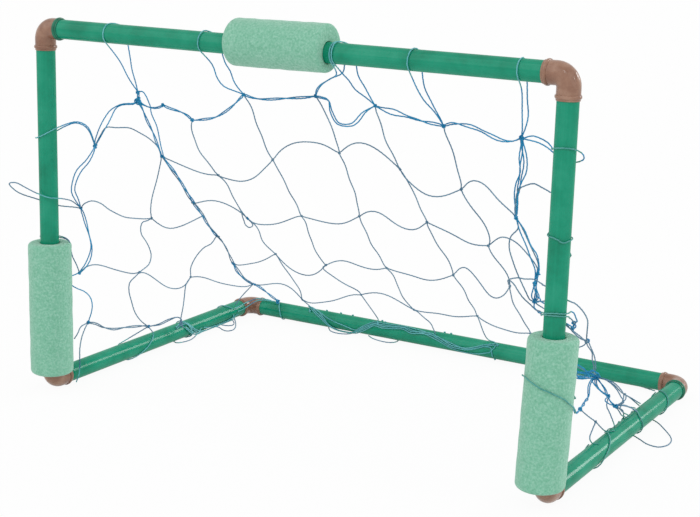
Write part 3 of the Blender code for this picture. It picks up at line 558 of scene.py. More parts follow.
# Knots of the back panel: edge runs down the left slanting edge, r1c1 is row 1, column 1, and
# far runs down the right edge
BACK_KNOTS = {
    "top0": (-0.325, 0.085, 0.4765),
    "knot0": (-0.3300, 0.0925, 0.4655),
    "under0": (-0.3285, 0.0960, 0.4560),
    "edge0": (-0.331, 0.0945, 0.4605),
    "edge1": (-0.355, 0.190, 0.355),
    "edge2": (-0.360, 0.285, 0.260),
    "edge3": (-0.365, 0.365, 0.185),
    "edge4": (-0.375, 0.430, 0.120),
    "edge5": (-0.369, 0.490, 0.069),
    "r1c1": (-0.230, 0.100, 0.440),
    "r1c2": (-0.105, 0.060, 0.495),
    "r1c3": (0.025, 0.055, 0.505),
    "r1c4": (0.125, 0.055, 0.500),
    "r1c5": (0.230, 0.065, 0.480),
    "r2c1": (-0.250, 0.200, 0.335),
    "r2c2": (-0.120, 0.165, 0.380),
    "r2c3": (0.020, 0.135, 0.410),
    "r2c4": (0.120, 0.145, 0.395),
    "r2c5": (0.230, 0.130, 0.380),
    "r3c1": (-0.255, 0.295, 0.245),
    "r3c2": (-0.130, 0.270, 0.270),
    "r3c3": (-0.005, 0.245, 0.290),
    "r3c4": (0.125, 0.230, 0.300),
    "r3c5": (0.245, 0.200, 0.285),
    "r4c1": (-0.255, 0.385, 0.165),
    "r4c2": (-0.150, 0.385, 0.160),
    "r4c3": (-0.015, 0.360, 0.180),
    "r4c4": (0.125, 0.330, 0.195),
    "r4c5": (0.255, 0.265, 0.210),
    "r5c1": (-0.275, 0.510, 0.050),
    "r5c2": (-0.120, 0.460, 0.095),
    "r5c3": (-0.020, 0.475, 0.080),
    "r5c4": (0.120, 0.440, 0.100),
    "r5c5": (0.245, 0.380, 0.105),
    "far0": (0.360, 0.040, 0.480),
    "far1": (0.345, 0.070, 0.365),
    "far2": (0.366, 0.110, 0.284),
    "far3": (0.354, 0.130, 0.231),
    "far4": (0.385, 0.266, 0.142),
    "far5": (0.352, 0.400, 0.050),
    "tie0": (-0.2855, 0.098, 0.4585),
    "bar0": (-0.367, 0.568, 0.0190),
}

# Strands of the back panel: two knots, how far the twine swings off the straight line at one
# third and two thirds of its length, upwards along a row, and how it is tied
BACK_ROWS = [
    ("edge0", "tie0", -0.0065, -0.0070, PAIR),
    ("tie0", "r1c1", 0.002, 0.004, PAIR),
    ("r1c1", "r1c2", -0.011, -0.012, PAIR),
    ("r1c2", "r1c3", -0.006, -0.004, PAIR),
    ("r1c4", "r1c5", -0.002, -0.001, OPEN),
    ("r1c5", "far0", 0.006, -0.005, OPEN),
    ("edge1", "r2c1", -0.004, -0.005, ONE),
    ("r2c1", "r2c2", -0.018, -0.020, ONE),
    ("r2c2", "r2c3", 0.023, 0.019, ONE),
    ("r2c3", "r2c4", 0.023, 0.019, ONE),
    ("r2c4", "r2c5", -0.023, -0.020, ONE),
    ("r2c5", "far1", 0.023, 0.013, ONE),
    ("edge2", "r3c1", 0.013, 0.014, ONE),
    ("r3c1", "r3c2", -0.013, -0.008, ONE),
    ("r3c2", "r3c3", -0.009, -0.012, ONE),
    ("r3c3", "r3c4", 0.006, -0.012, ONE),
    ("r3c4", "r3c5", -0.003, -0.006, ONE),
    ("r3c5", "far2", 0.024, 0.021, ONE),
    ("edge4", "r4c1", -0.007, -0.006, ONE),
    ("r4c1", "r4c2", -0.022, -0.025, ONE),
    ("r4c2", "r4c3", 0.008, -0.001, ONE),
    ("r4c3", "r4c4", -0.008, -0.012, ONE),
    ("r4c4", "r4c5", 0.010, -0.020, ONE),
    ("edge5", "r5c1", 0.011, 0.017, ONE),
    ("r5c1", "r5c2", -0.009, -0.003, ONE),
    ("r5c2", "r5c3", 0.012, 0.009, ONE),
    ("r5c3", "r5c4", -0.003, -0.004, ONE),
    ("r5c4", "r5c5", -0.008, -0.007, ONE),
    ("r5c5", "far5", -0.006, -0.006, ONE),
]

# The same for the columns and the two long edges, which swing sideways, to the right
BACK_COLUMNS = [
    ("edge1", "edge2", 0.002, 0.001, PAIR),
    ("edge2", "edge3", 0.001, -0.002, ONE),
    ("edge3", "edge4", 0.002, 0.002, ONE),
    ("edge4", "edge5", -0.006, -0.009, ONE),
    ("r1c1", "r2c1", -0.014, -0.013, ONE),
    ("r2c1", "r3c1", 0.004, -0.002, ONE),
    ("r3c1", "r4c1", 0.003, -0.006, ONE),
    ("r4c1", "r5c1", 0.003, 0.007, ONE),
    ("r1c2", "r2c2", 0.002, -0.002, ONE),
    ("r2c2", "r3c2", 0.001, 0.001, ONE),
    ("r3c2", "r4c2", -0.002, -0.007, ONE),
    ("r4c2", "r5c2", -0.020, -0.005, ONE),
    ("r1c3", "r2c3", 0.005, 0.005, ONE),
    ("r2c3", "r3c3", 0.004, 0.005, ONE),
    ("r3c3", "r4c3", -0.004, -0.004, ONE),
    ("r4c3", "r5c3", 0.001, -0.006, ONE),
    ("r1c4", "r2c4", -0.004, -0.004, ONE),
    ("r2c4", "r3c4", 0.003, 0.002, ONE),
    ("r3c4", "r4c4", -0.002, 0.004, ONE),
    ("r4c4", "r5c4", 0.003, 0.002, ONE),
    ("r1c5", "r2c5", 0.002, 0.004, ONE),
    ("r2c5", "r3c5", 0.004, 0.012, ONE),
    ("r3c5", "r4c5", 0.001, 0.006, ONE),
    ("r4c5", "r5c5", -0.007, -0.004, ONE),
    ("far0", "far1", 0.003, 0.001, OPEN),
    ("far1", "far2", 0.003, 0.005, ONE),
    ("far2", "far3", -0.001, 0.001, PAIR),
    ("far3", "far4", 0.004, 0.004, ONE),
    ("far4", "far5", 0.004, 0.002, ONE),
]

# Strands that take a longer way: how each is tied, then the knots and places it runs through
BACK_ROUTES = [
    (PAIR, "top0", "edge0"),
    (ONE, "top0", (-0.318, 0.086, 0.4785), (-0.315, 0.090, 0.473), (-0.3125, 0.096, 0.461),
     (-0.3135, 0.102, 0.4535), (-0.321, 0.115, 0.440), (-0.332, 0.140, 0.417), (-0.341, 0.162, 0.390),
     "edge1"),
    (PAIR, "top0", "knot0", "edge0"),
    (PAIR, "knot0", (-0.3285, 0.0935, 0.4590), "under0"),
    (PAIR, "edge0", (-0.3345, 0.0930, 0.4650), (-0.3370, 0.0925, 0.4610), (-0.334, 0.0945, 0.4570),
     "under0"),
    (OPEN, "r1c3", (0.046, 0.056, 0.501), (0.051, 0.056, 0.485), (0.063, 0.057, 0.468),
     (0.086, 0.057, 0.469), (0.106, 0.056, 0.489), "r1c4"),
    (PAIR, "edge5", (-0.367, 0.520, 0.051), (-0.3675, 0.543, 0.0365), "bar0"),
]

# A slack strand down to the rear bar, and a slack bight beside one knot
BACK_MESH_ROUTES = [
    (ONE, "r5c3", (-0.0155, 0.4805, 0.0755), (-0.0125, 0.4885, 0.0685), (-0.0095, 0.4970, 0.0615),
     (-0.0060, 0.5060, 0.0545), (-0.0050, 0.5160, 0.0460), (-0.0075, 0.5275, 0.0363),
     (-0.0150, 0.5480, 0.0235), (-0.0220, 0.5668, 0.0138)),
    (ONE, (-0.2550, 0.271, 0.2660), (-0.2570, 0.279, 0.2575), (-0.2605, 0.288, 0.2485),
     (-0.2635, 0.297, 0.2400), (-0.2660, 0.305, 0.2310), (-0.2635, 0.311, 0.2255), (-0.2560, 0.309, 0.2275),
     (-0.2490, 0.302, 0.2340), "r3c1"),
]

# Turns over the crossbar: the knot, where the turn goes up the front of the bar and where it
# comes down behind it, and the places that its two legs hang through
CROSSBAR_TURNS = [
    ("top0", -0.311, -0.296, [(-0.322, 0.035, 0.531), (-0.329, 0.062, 0.507)],
     [(-0.300, 0.035, 0.537), (-0.316, 0.062, 0.506)]),
    ("r1c2", -0.134, -0.119,
     [(-0.127, 0.008, 0.542), (-0.124, 0.018, 0.523), (-0.120, 0.030, 0.510), (-0.113, 0.045, 0.502)],
     [(-0.1125, 0.0205, 0.545), (-0.107, 0.026, 0.533), (-0.108, 0.042, 0.514)]),
    ("r1c3", 0.090, 0.094,
     [(0.087, 0.008, 0.545), (0.068, 0.020, 0.535), (0.046, 0.032, 0.526), (0.032, 0.046, 0.516)],
     [(0.091, 0.020, 0.549), (0.069, 0.026, 0.538), (0.046, 0.038, 0.524), (0.030, 0.050, 0.512)]),
    ("r1c4", 0.093, 0.113,
     [(0.094, 0.012, 0.547), (0.099, 0.023, 0.537), (0.104, 0.034, 0.524), (0.114, 0.046, 0.512)],
     [(0.111, 0.026, 0.546), (0.117, 0.040, 0.525)]),
    ("r1c5", 0.213, 0.218, [(0.209, 0.014, 0.540), (0.214, 0.032, 0.520), (0.222, 0.048, 0.503)],
     [(0.215, 0.028, 0.539), (0.221, 0.046, 0.514)]),
    ("far0", 0.374, 0.371, [(0.369, 0.014, 0.540), (0.366, 0.026, 0.520)],
     [(0.372, 0.026, 0.538), (0.372, 0.032, 0.512)]),
]

# Twine wound on a bar: how it is tied, then places along the bar, degrees round it from its
# top towards the side in view, and how far the twine stands off it
REAR_BAR_WINDS = [
    (ONE, (-0.367, 10, 0), (-0.361, 50, 0), (-0.357, 80, 0), (-0.355, 120, 0), (-0.357, 200, 0),
     (-0.363, 300, 0)),
    (PAIR, (-0.304, -15, 0.001), (-0.290, 20, 0.001), (-0.276, 50, 0.001), (-0.263, 72, 0.001),
     (-0.250, 102, 0.001), (-0.240, 128, 0.001), (-0.224, 160, 0.001), (-0.203, 155, 0.001),
     (-0.184, 125, 0.002), (-0.165, 90, 0.001), (-0.148, 54, 0.001), (-0.131, 58, 0), (-0.111, 52, 0.001),
     (-0.087, 42, 0.001), (-0.070, 57, 0.001), (-0.048, 48, 0.001), (-0.028, 45, 0.001),
     (-0.006, 68, 0.001), (0.014, 94, 0.001), (0.034, 97, 0.001), (0.046, 95, 0.001), (0.062, 79, 0.001),
     (0.079, 56, 0.001), (0.091, 42, 0.001), (0.098, 34, 0.001)),
    (ONE, (-0.302, -15, 0.001), (-0.276, 26, 0), (-0.253, 62, 0), (-0.235, 80, 0), (-0.210, 97, 0),
     (-0.186, 110, 0.001), (-0.167, 66, 0), (-0.152, 33, 0), (-0.131, 28, 0), (-0.110, 25, 0),
     (-0.090, 18, 0), (-0.067, 26, 0), (-0.046, 33, 0), (-0.030, 46, 0), (-0.008, 60, 0), (0.022, 84, 0),
     (0.043, 97, 0), (0.062, 82, 0), (0.079, 62, 0), (0.092, 60, 0.001), (0.094, 67, 0), (0.096, 91, 0),
     (0.097, 120, 0)),
    (ONE, (-0.300, -10, 0), (-0.272, 34, 0), (-0.256, 74, 0), (-0.244, 118, 0.002), (-0.228, 150, 0.002),
     (-0.204, 150, 0.002), (-0.186, 118, 0.001), (-0.168, 80, 0.001), (-0.150, 44, 0), (-0.131, 42, 0),
     (-0.110, 38, 0), (-0.087, 30, 0), (-0.067, 42, 0), (-0.046, 48, 0), (-0.028, 62, 0), (-0.008, 83, 0),
     (0.016, 113, 0), (0.041, 127, 0), (0.072, 113, 0), (0.092, 89, 0), (0.099, 57, 0), (0.1005, 34, 0)),
]

# Tight turns that stand out as nubs: places along the rear bar and degrees round it. Each sits
# a little into the twine under it
REAR_BAR_NUBS = [
    (-0.262, -12), (-0.232, -20), (-0.205, -15), (-0.141, -18), (-0.131, 8), (-0.010, -18), (0.004, -14),
    (0.099, 148),
]
NUB_LIFT = -0.0008

# Feet of the columns: the knot, then where the strand lies on the rear bar
REAR_BAR_FEET = [
    ("r5c1", (-0.298, 0, 0), (-0.296, 20, 0), (-0.292, 40, 0)),
    ("r5c2", (-0.149, -10, 0), (-0.146, 15, 0), (-0.142, 40, 0)),
    ("r5c4", (0.080, -14, 0), (0.094, 8, 0), (0.103, 32, 0)),
    ("r5c5", (0.230, -12, 0), (0.236, 40, 0), (0.242, 100, 0), (0.244, 180, 0), (0.238, 270, 0)),
]

# Slack strands on the ground that come out from under the rear bar
GROUND_STRANDS = [
    (ONE, (-0.165, 0.572, -0.0162), (-0.150, 0.562, -0.0167), (-0.128, 0.556, -0.0167),
     (-0.113, 0.557, -0.0167), (-0.104, 0.566, -0.0166), (-0.104, 0.580, -0.0162)),
    (ONE, (-0.262, 0.585, -0.0162), (-0.240, 0.558, -0.0166), (-0.220, 0.553, -0.0166),
     (-0.203, 0.560, -0.0164), (-0.196, 0.580, -0.0162)),
    (ONE, (0.352, 0.586, -0.0162), (0.360, 0.584, -0.0166), (0.377, 0.579, -0.0167),
     (0.397, 0.572, -0.0166)),
]

# The left side panel: edge is the edge that it shares with the back, post runs down beside the
# upright, and mid and low lie between
LEFT_KNOTS = {
    "edge0": (-0.3325, 0.0945, 0.4605),
    "edge1": (-0.358, 0.188, 0.3565),
    "edge2": (-0.363, 0.283, 0.2615),
    "edge3": (-0.368, 0.363, 0.1865),
    "edge4": (-0.378, 0.428, 0.1215),
    "edge5": (-0.372, 0.488, 0.0700),
    "post1": (-0.4140, 0.085, 0.3815),
    "post2": (-0.425, 0.060, 0.280),
    "post3": (-0.430, 0.060, 0.170),
    "post4": (-0.430, 0.080, 0.080),
    "mid2": (-0.400, 0.215, 0.240),
    "mid3": (-0.415, 0.200, 0.145),
    "mid4": (-0.416, 0.225, 0.041),
    "low3": (-0.405, 0.335, 0.110),
}
LEFT_ROWS = [
    ("mid3", "low3", -0.012, -0.025, ONE),
    ("low3", "edge5", -0.001, -0.008, ONE),
    ("post3", "mid3", 0.013, 0.002, ONE),
]
LEFT_COLUMNS = [
    ("edge0", "edge1", 0.0025, 0.0030, PAIR),
    ("edge1", "edge2", 0.002, 0.001, ONE),
    ("edge2", "edge3", 0.001, -0.002, PAIR),
    ("edge3", "edge4", 0.006, 0.004, ONE),
    ("edge4", "edge5", -0.008, -0.011, PAIR),
    ("edge1", "mid2", -0.001, -0.006, ONE),
]
LEFT_ROUTES = [
    (ONE, "edge0", (-0.3416, 0.0930, 0.4568), (-0.3514, 0.0900, 0.4560), (-0.3594, 0.0860, 0.4547),
     (-0.3674, 0.0820, 0.4508), (-0.3765, 0.0780, 0.4436), (-0.3853, 0.0760, 0.4316),
     (-0.3957, 0.0770, 0.4167), (-0.4056, 0.0800, 0.4023), (-0.4129, 0.0830, 0.3896), "post1"),
    (ONE, "edge0", (-0.3424, 0.0945, 0.4550), (-0.3522, 0.0915, 0.4543), (-0.3602, 0.0870, 0.4530),
     (-0.3665, 0.0840, 0.4495), (-0.3705, 0.0820, 0.4443), (-0.3760, 0.0810, 0.4334),
     (-0.3815, 0.0800, 0.4226), (-0.3899, 0.0800, 0.4104), (-0.4001, 0.0820, 0.3977),
     (-0.4082, 0.0840, 0.3884), "post1"),
    (ONE, "post1", (-0.400, 0.061, 0.403), (-0.400, 0.052, 0.416), (-0.403, 0.044, 0.423),
     (-0.408, 0.033, 0.427), (-0.414, 0.016, 0.425), (-0.4235, -0.004, 0.418), (-0.431, -0.0135, 0.412),
     (-0.440, -0.0162, 0.407), (-0.449, -0.0150, 0.4035), (-0.4585, -0.0075, 0.401),
     (-0.461, 0.0005, 0.400), (-0.4565, 0.0090, 0.402), (-0.446, 0.0155, 0.407), (-0.434, 0.0165, 0.413),
     (-0.422, 0.020, 0.420), (-0.411, 0.032, 0.425), (-0.405, 0.044, 0.421), (-0.402, 0.053, 0.413),
     "post1"),
    (ONE, "post1", (-0.402, 0.065, 0.379), (-0.409, 0.056, 0.362), (-0.416, 0.040, 0.346),
     (-0.419, 0.033, 0.328), (-0.420, 0.032, 0.312), (-0.419, 0.040, 0.297), "post2"),
    (ONE, "post1", (-0.404, 0.070, 0.374), (-0.408, 0.062, 0.359), (-0.413, 0.049, 0.345),
     (-0.416, 0.041, 0.330), (-0.418, 0.038, 0.315), (-0.417, 0.044, 0.299), "post2"),
    (OPEN, "post2", (-0.419, 0.062, 0.262), (-0.417, 0.070, 0.236), (-0.416, 0.074, 0.213),
     (-0.418, 0.071, 0.195), (-0.422, 0.066, 0.182), "post3"),
    (ONE, "post3", (-0.434, 0.052, 0.168), (-0.441, 0.044, 0.163), (-0.439, 0.043, 0.156),
     (-0.430, 0.050, 0.147), (-0.422, 0.062, 0.139), (-0.418, 0.071, 0.128), (-0.417, 0.075, 0.115),
     (-0.420, 0.077, 0.100), "post4"),
]
LEFT_MESH_ROUTES = [
    (ONE, "mid2", (-0.3957, 0.2275, 0.2293), (-0.3909, 0.2410, 0.2204), (-0.3861, 0.2545, 0.2169),
     (-0.3800, 0.2725, 0.2190), (-0.3730, 0.2925, 0.2245), (-0.3650, 0.3150, 0.2315)),
    (ONE, "mid2", (-0.4003, 0.2040, 0.2380), (-0.4005, 0.1905, 0.2365), (-0.4015, 0.1875, 0.2295),
     (-0.4040, 0.1920, 0.2160), (-0.4060, 0.2060, 0.2005), (-0.4090, 0.2205, 0.1835),
     (-0.4110, 0.2275, 0.1690), (-0.4135, 0.2245, 0.1550), "mid3"),
    (PAIR, "post4", (-0.420, 0.087, 0.078), (-0.417, 0.103, 0.068), (-0.414, 0.126, 0.060),
     (-0.411, 0.153, 0.057), (-0.409, 0.180, 0.053), (-0.411, 0.206, 0.047), "mid4"),
    (PAIR, "mid4", (-0.404, 0.240, 0.043), (-0.396, 0.258, 0.049), (-0.394, 0.280, 0.049),
     (-0.397, 0.296, 0.040), (-0.408, 0.312, 0.024), (-0.418, 0.330, 0.014)),
    (ONE, "post1", (-0.400, 0.081, 0.4000), (-0.3865, 0.080, 0.4145), (-0.377, 0.094, 0.4135),
     (-0.370, 0.120, 0.411), (-0.365, 0.142, 0.400), (-0.361, 0.164, 0.386), (-0.358, 0.180, 0.372),
     "edge1"),
    (ONE, "post2", (-0.415, 0.056, 0.289), (-0.411, 0.070, 0.292), (-0.407, 0.090, 0.285),
     (-0.404, 0.108, 0.272), (-0.400, 0.138, 0.256), (-0.397, 0.164, 0.249), (-0.396, 0.187, 0.244),
     "mid2"),
    (ONE, "post4", (-0.424, 0.064, 0.074), (-0.421, 0.053, 0.063), (-0.4205, 0.0475, 0.045),
     (-0.4195, 0.0445, 0.020), (-0.4205, 0.0430, 0.000), (-0.4260, 0.0430, -0.0145)),
    (ONE, "post4", (-0.426, 0.056, 0.078), (-0.424, 0.046, 0.070), (-0.430, 0.044, 0.060)),
    (ONE, "mid3", (-0.411, 0.184, 0.142), (-0.411, 0.168, 0.133), (-0.411, 0.166, 0.120),
     (-0.411, 0.171, 0.102), (-0.412, 0.182, 0.078), (-0.413, 0.200, 0.058), "mid4"),
    (ONE, "edge3", (-0.372, 0.352, 0.174), (-0.378, 0.338, 0.168), (-0.386, 0.328, 0.154),
     (-0.395, 0.322, 0.132), "low3"),
    (ONE, "low3", (-0.398, 0.312, 0.102), (-0.396, 0.304, 0.082), (-0.396, 0.300, 0.064),
     (-0.404, 0.306, 0.044), (-0.418, 0.318, 0.018)),
    (ONE, (-0.441, 0.331, -0.0166), (-0.431, 0.328, -0.0167), (-0.4235, 0.340, -0.0167),
     (-0.4215, 0.360, -0.0166), (-0.4225, 0.378, -0.0120), (-0.4235, 0.394, -0.0030)),
    (ONE, "edge5", (-0.392, 0.497, 0.052), (-0.408, 0.503, 0.036), (-0.4245, 0.505, 0.016)),
    (ONE, (-0.4220, 0.436, -0.0100), (-0.4190, 0.445, -0.0130), (-0.4110, 0.445, -0.0160),
     (-0.400, 0.444, -0.0167), (-0.3945, 0.454, -0.0167), (-0.400, 0.472, -0.0160),
     (-0.409, 0.486, -0.0130), (-0.4175, 0.494, -0.0080), (-0.4235, 0.498, -0.0010)),
    (ONE, (-0.4220, 0.458, -0.0120), (-0.4170, 0.470, -0.0150), (-0.4130, 0.481, -0.0160),
     (-0.4150, 0.489, -0.0140), (-0.4225, 0.490, -0.0060)),
    (ONE, (-0.4235, 0.512, 0.002), (-0.4235, 0.532, 0.003), (-0.4195, 0.549, 0.008),
     (-0.411, 0.560, 0.0145), (-0.399, 0.5655, 0.0168), (-0.385, 0.568, 0.0175), (-0.374, 0.568, 0.018)),
    (ONE, (-0.4250, 0.505, 0.009), (-0.4265, 0.528, 0.0105), (-0.4240, 0.547, 0.0135),
     (-0.413, 0.564, 0.0180), (-0.399, 0.5700, 0.0180), (-0.385, 0.572, 0.0175)),
]
LEFT_RAIL_WINDS = [
    (PAIR, (0.322, 44, 0.001), (0.340, 30, 0.001), (0.356, 38, 0.001), (0.363, 66, 0.001),
     (0.371, 92, 0.001), (0.384, 114, 0.001), (0.400, 132, 0.001), (0.416, 143, 0.001), (0.434, 146, 0.001),
     (0.455, 144, 0.001)),
    (PAIR, (0.346, 60, 0.001), (0.357, 92, 0.002), (0.374, 121, 0.002), (0.392, 138, 0.002),
     (0.408, 146, 0.001), (0.440, 146, 0.001), (0.475, 145, 0.001), (0.505, 138, 0.001)),
    (ONE, (0.352, 30, 0.002), (0.358, 70, 0.002), (0.364, 110, 0.001), (0.366, 150, 0), (0.362, 220, 0),
     (0.356, 300, 0), (0.352, 370, 0.001), (0.358, 430, 0.003), (0.368, 480, 0.001), (0.372, 540, 0)),
    (ONE, (0.400, 100, 0.001), (0.430, 128, 0), (0.471, 135, 0), (0.495, 122, 0), (0.515, 103, 0)),
    (ONE, (0.500, 55, 0), (0.490, 20, 0), (0.486, -40, 0), (0.488, -120, 0), (0.494, -200, 0),
     (0.500, -260, 0)),
]

# A turn of the mesh round the left rail, from one knot and back to it
LEFT_RAIL_TURN = (
    "mid4", (0.187, -25, 0), (0.187, -80, 0), (0.190, -140, 0), (0.194, -190, 0), (0.200, -212, 0),
    (0.215, -240, 0), (0.235, -275, 0), (0.252, -310, 0), (0.262, -335, 0),
)

# A loose loop of the mesh round the left upright, its places counted from the upright's axis
LEFT_UPRIGHT_LOOP = [
    (0.020, 0.034, 0.297), (0.0225, 0.006, 0.305), (0.014, -0.0155, 0.309), (-0.005, -0.0205, 0.315),
    (-0.028, -0.022, 0.322), (-0.050, -0.023, 0.327), (-0.064, -0.022, 0.323), (-0.057, -0.012, 0.311),
    (-0.038, 0.008, 0.298), (-0.018, 0.023, 0.290), (-0.004, 0.034, 0.286),
]

# The strand that lies over the left float, which the float lifts when it slides up, and where
# the lift starts and is whole
LEFT_LIFTED_ROUTES = [
    (ONE, (-0.4300, 0.0600, 0.170), (-0.4250, 0.0470, 0.187), (-0.4240, 0.0365, 0.203),
     (-0.4215, 0.0300, 0.2150), (-0.4155, 0.0210, 0.2300), (-0.4165, 0.0168, 0.2365),
     (-0.4240, 0.0165, 0.2392), (-0.4350, 0.0182, 0.2395), (-0.4480, 0.0175, 0.2395),
     (-0.4590, 0.0100, 0.2390), (-0.4642, 0.0040, 0.2378), (-0.4622, 0.0040, 0.2362),
     (-0.4560, 0.0110, 0.2368), (-0.4470, 0.0165, 0.2374), (-0.4350, 0.0178, 0.2372),
     (-0.4230, 0.0165, 0.2374), (-0.4165, 0.0180, 0.2350)),
]
LEFT_LIFT = ((-0.428, 0.055, 0.178), (-0.415, 0.020, 0.222))

# The right side panel, drawn together behind the upright: head, neck, the bunches, and below
# them post, the tangle and what ties it to the ground rail
RIGHT_KNOTS = {
    "head": (0.363, 0.036, 0.480),
    "neck": (0.357, 0.047, 0.408),
    "bunch1": (0.350, 0.060, 0.365),
    "blob1": (0.367, 0.108, 0.279),
    "bunch2": (0.360, 0.113, 0.262),
    "bunch3": (0.356, 0.126, 0.233),
    "post3": (0.428, 0.100, 0.219),
    "post3b": (0.4268, 0.1005, 0.2110),
    "post4": (0.392, 0.254, 0.149),
    "tangle": (0.385, 0.319, 0.073),
    "tangle2": (0.372, 0.316, 0.078),
    "foot": (0.419, 0.170, 0.070),
    "fork": (0.428, 0.213, 0.040),
    "rail": (0.425, 0.303, 0.038),
    "rail2": (0.407, 0.318, 0.047),
}
RIGHT_ROUTES = [
    (ONE, "head", (0.370, 0.038, 0.454), (0.369, 0.042, 0.434), (0.362, 0.045, 0.419), "neck"),
    (ONE, "head", (0.359, 0.038, 0.453), (0.360, 0.042, 0.433), (0.353, 0.046, 0.415),
     (0.350, 0.050, 0.398), "bunch1"),
    (ONE, "neck", (0.353, 0.052, 0.390), "bunch1"),
    (ONE, "head", (0.378, 0.034, 0.485), (0.391, 0.031, 0.4835), (0.402, 0.031, 0.479),
     (0.412, 0.024, 0.474), (0.4235, -0.004, 0.478), (0.431, -0.0135, 0.4805), (0.442, -0.0163, 0.482),
     (0.451, -0.0135, 0.482), (0.4585, -0.0040, 0.479), (0.4625, 0.0060, 0.473), (0.4610, 0.0130, 0.466),
     (0.4525, 0.0155, 0.461), (0.440, 0.0170, 0.459), (0.428, 0.0140, 0.462), (0.415, 0.0200, 0.469),
     (0.400, 0.0310, 0.4735), (0.386, 0.034, 0.4775), "head"),
    (ONE, "bunch1", (0.357, 0.073, 0.347), (0.363, 0.085, 0.324), (0.370, 0.093, 0.310),
     (0.369, 0.105, 0.288), "blob1"),
    (ONE, "bunch1", (0.351, 0.072, 0.344), (0.357, 0.085, 0.321), (0.361, 0.096, 0.300),
     (0.363, 0.105, 0.284), "bunch2"),
    (ONE, "blob1", (0.363, 0.111, 0.271), "bunch2"),
    (PAIR, "bunch2", (0.361, 0.118, 0.250), (0.363, 0.121, 0.243), "bunch3"),
    (ONE, "bunch2", (0.356, 0.118, 0.252), (0.353, 0.122, 0.240), "bunch3"),
    (ONE, "bunch3", (0.360, 0.122, 0.2395), (0.3655, 0.119, 0.2420), (0.3695, 0.1165, 0.2390),
     (0.364, 0.120, 0.2345), "bunch3"),
    (PAIR, "post3", "post3b"),
    (ONE, "post3", (0.4320, 0.0980, 0.2165), (0.4305, 0.0990, 0.2125), "post3b"),
    (PAIR, "post3b", (0.4262, 0.1010, 0.2055)),
    (PAIR, "tangle", (0.379, 0.316, 0.067), (0.377, 0.312, 0.060), (0.381, 0.300, 0.047),
     (0.392, 0.262, 0.052), (0.405, 0.215, 0.060), "foot"),
    (PAIR, "tangle", (0.390, 0.327, 0.062), (0.396, 0.331, 0.052), (0.404, 0.320, 0.047), "rail2"),
    (ONE, "rail2", (0.410, 0.298, 0.045), (0.416, 0.300, 0.041), "rail"),
    (PAIR, "rail2", (0.412, 0.312, 0.042), "rail"),
    (ONE, "tangle2", (0.386, 0.309, 0.064), (0.400, 0.308, 0.054), "rail2"),
    (ONE, "tangle2", (0.366, 0.312, 0.086), (0.352, 0.308, 0.092), (0.335, 0.310, 0.092)),
    (ONE, "tangle2", (0.364, 0.313, 0.077), (0.350, 0.314, 0.080), (0.334, 0.316, 0.078)),
    (PAIR, "tangle", (0.374, 0.318, 0.071), (0.357, 0.317, 0.070), (0.340, 0.318, 0.072)),
    (ONE, "tangle", (0.376, 0.314, 0.078), "tangle2"),
    (ONE, (0.349, 0.325, 0.070), (0.357, 0.325, 0.0745), (0.364, 0.325, 0.071), (0.361, 0.325, 0.0655),
     (0.353, 0.325, 0.0650), (0.350, 0.324, 0.070), (0.357, 0.320, 0.0755), (0.370, 0.318, 0.078),
     "tangle2"),
    (ONE, (0.343, 0.322, 0.068), (0.352, 0.322, 0.0640), (0.363, 0.322, 0.0650), (0.371, 0.322, 0.0690),
     (0.366, 0.322, 0.0750), (0.374, 0.321, 0.0780), "tangle"),
    (PAIR, "tangle", (0.383, 0.322, 0.064), (0.385, 0.325, 0.056), (0.394, 0.325, 0.049), "rail2"),
    (ONE, "tangle2", (0.379, 0.314, 0.085), (0.388, 0.312, 0.082), (0.392, 0.316, 0.076), "tangle"),
    (ONE, "tangle", (0.392, 0.308, 0.083), (0.385, 0.304, 0.087), "tangle2"),
]
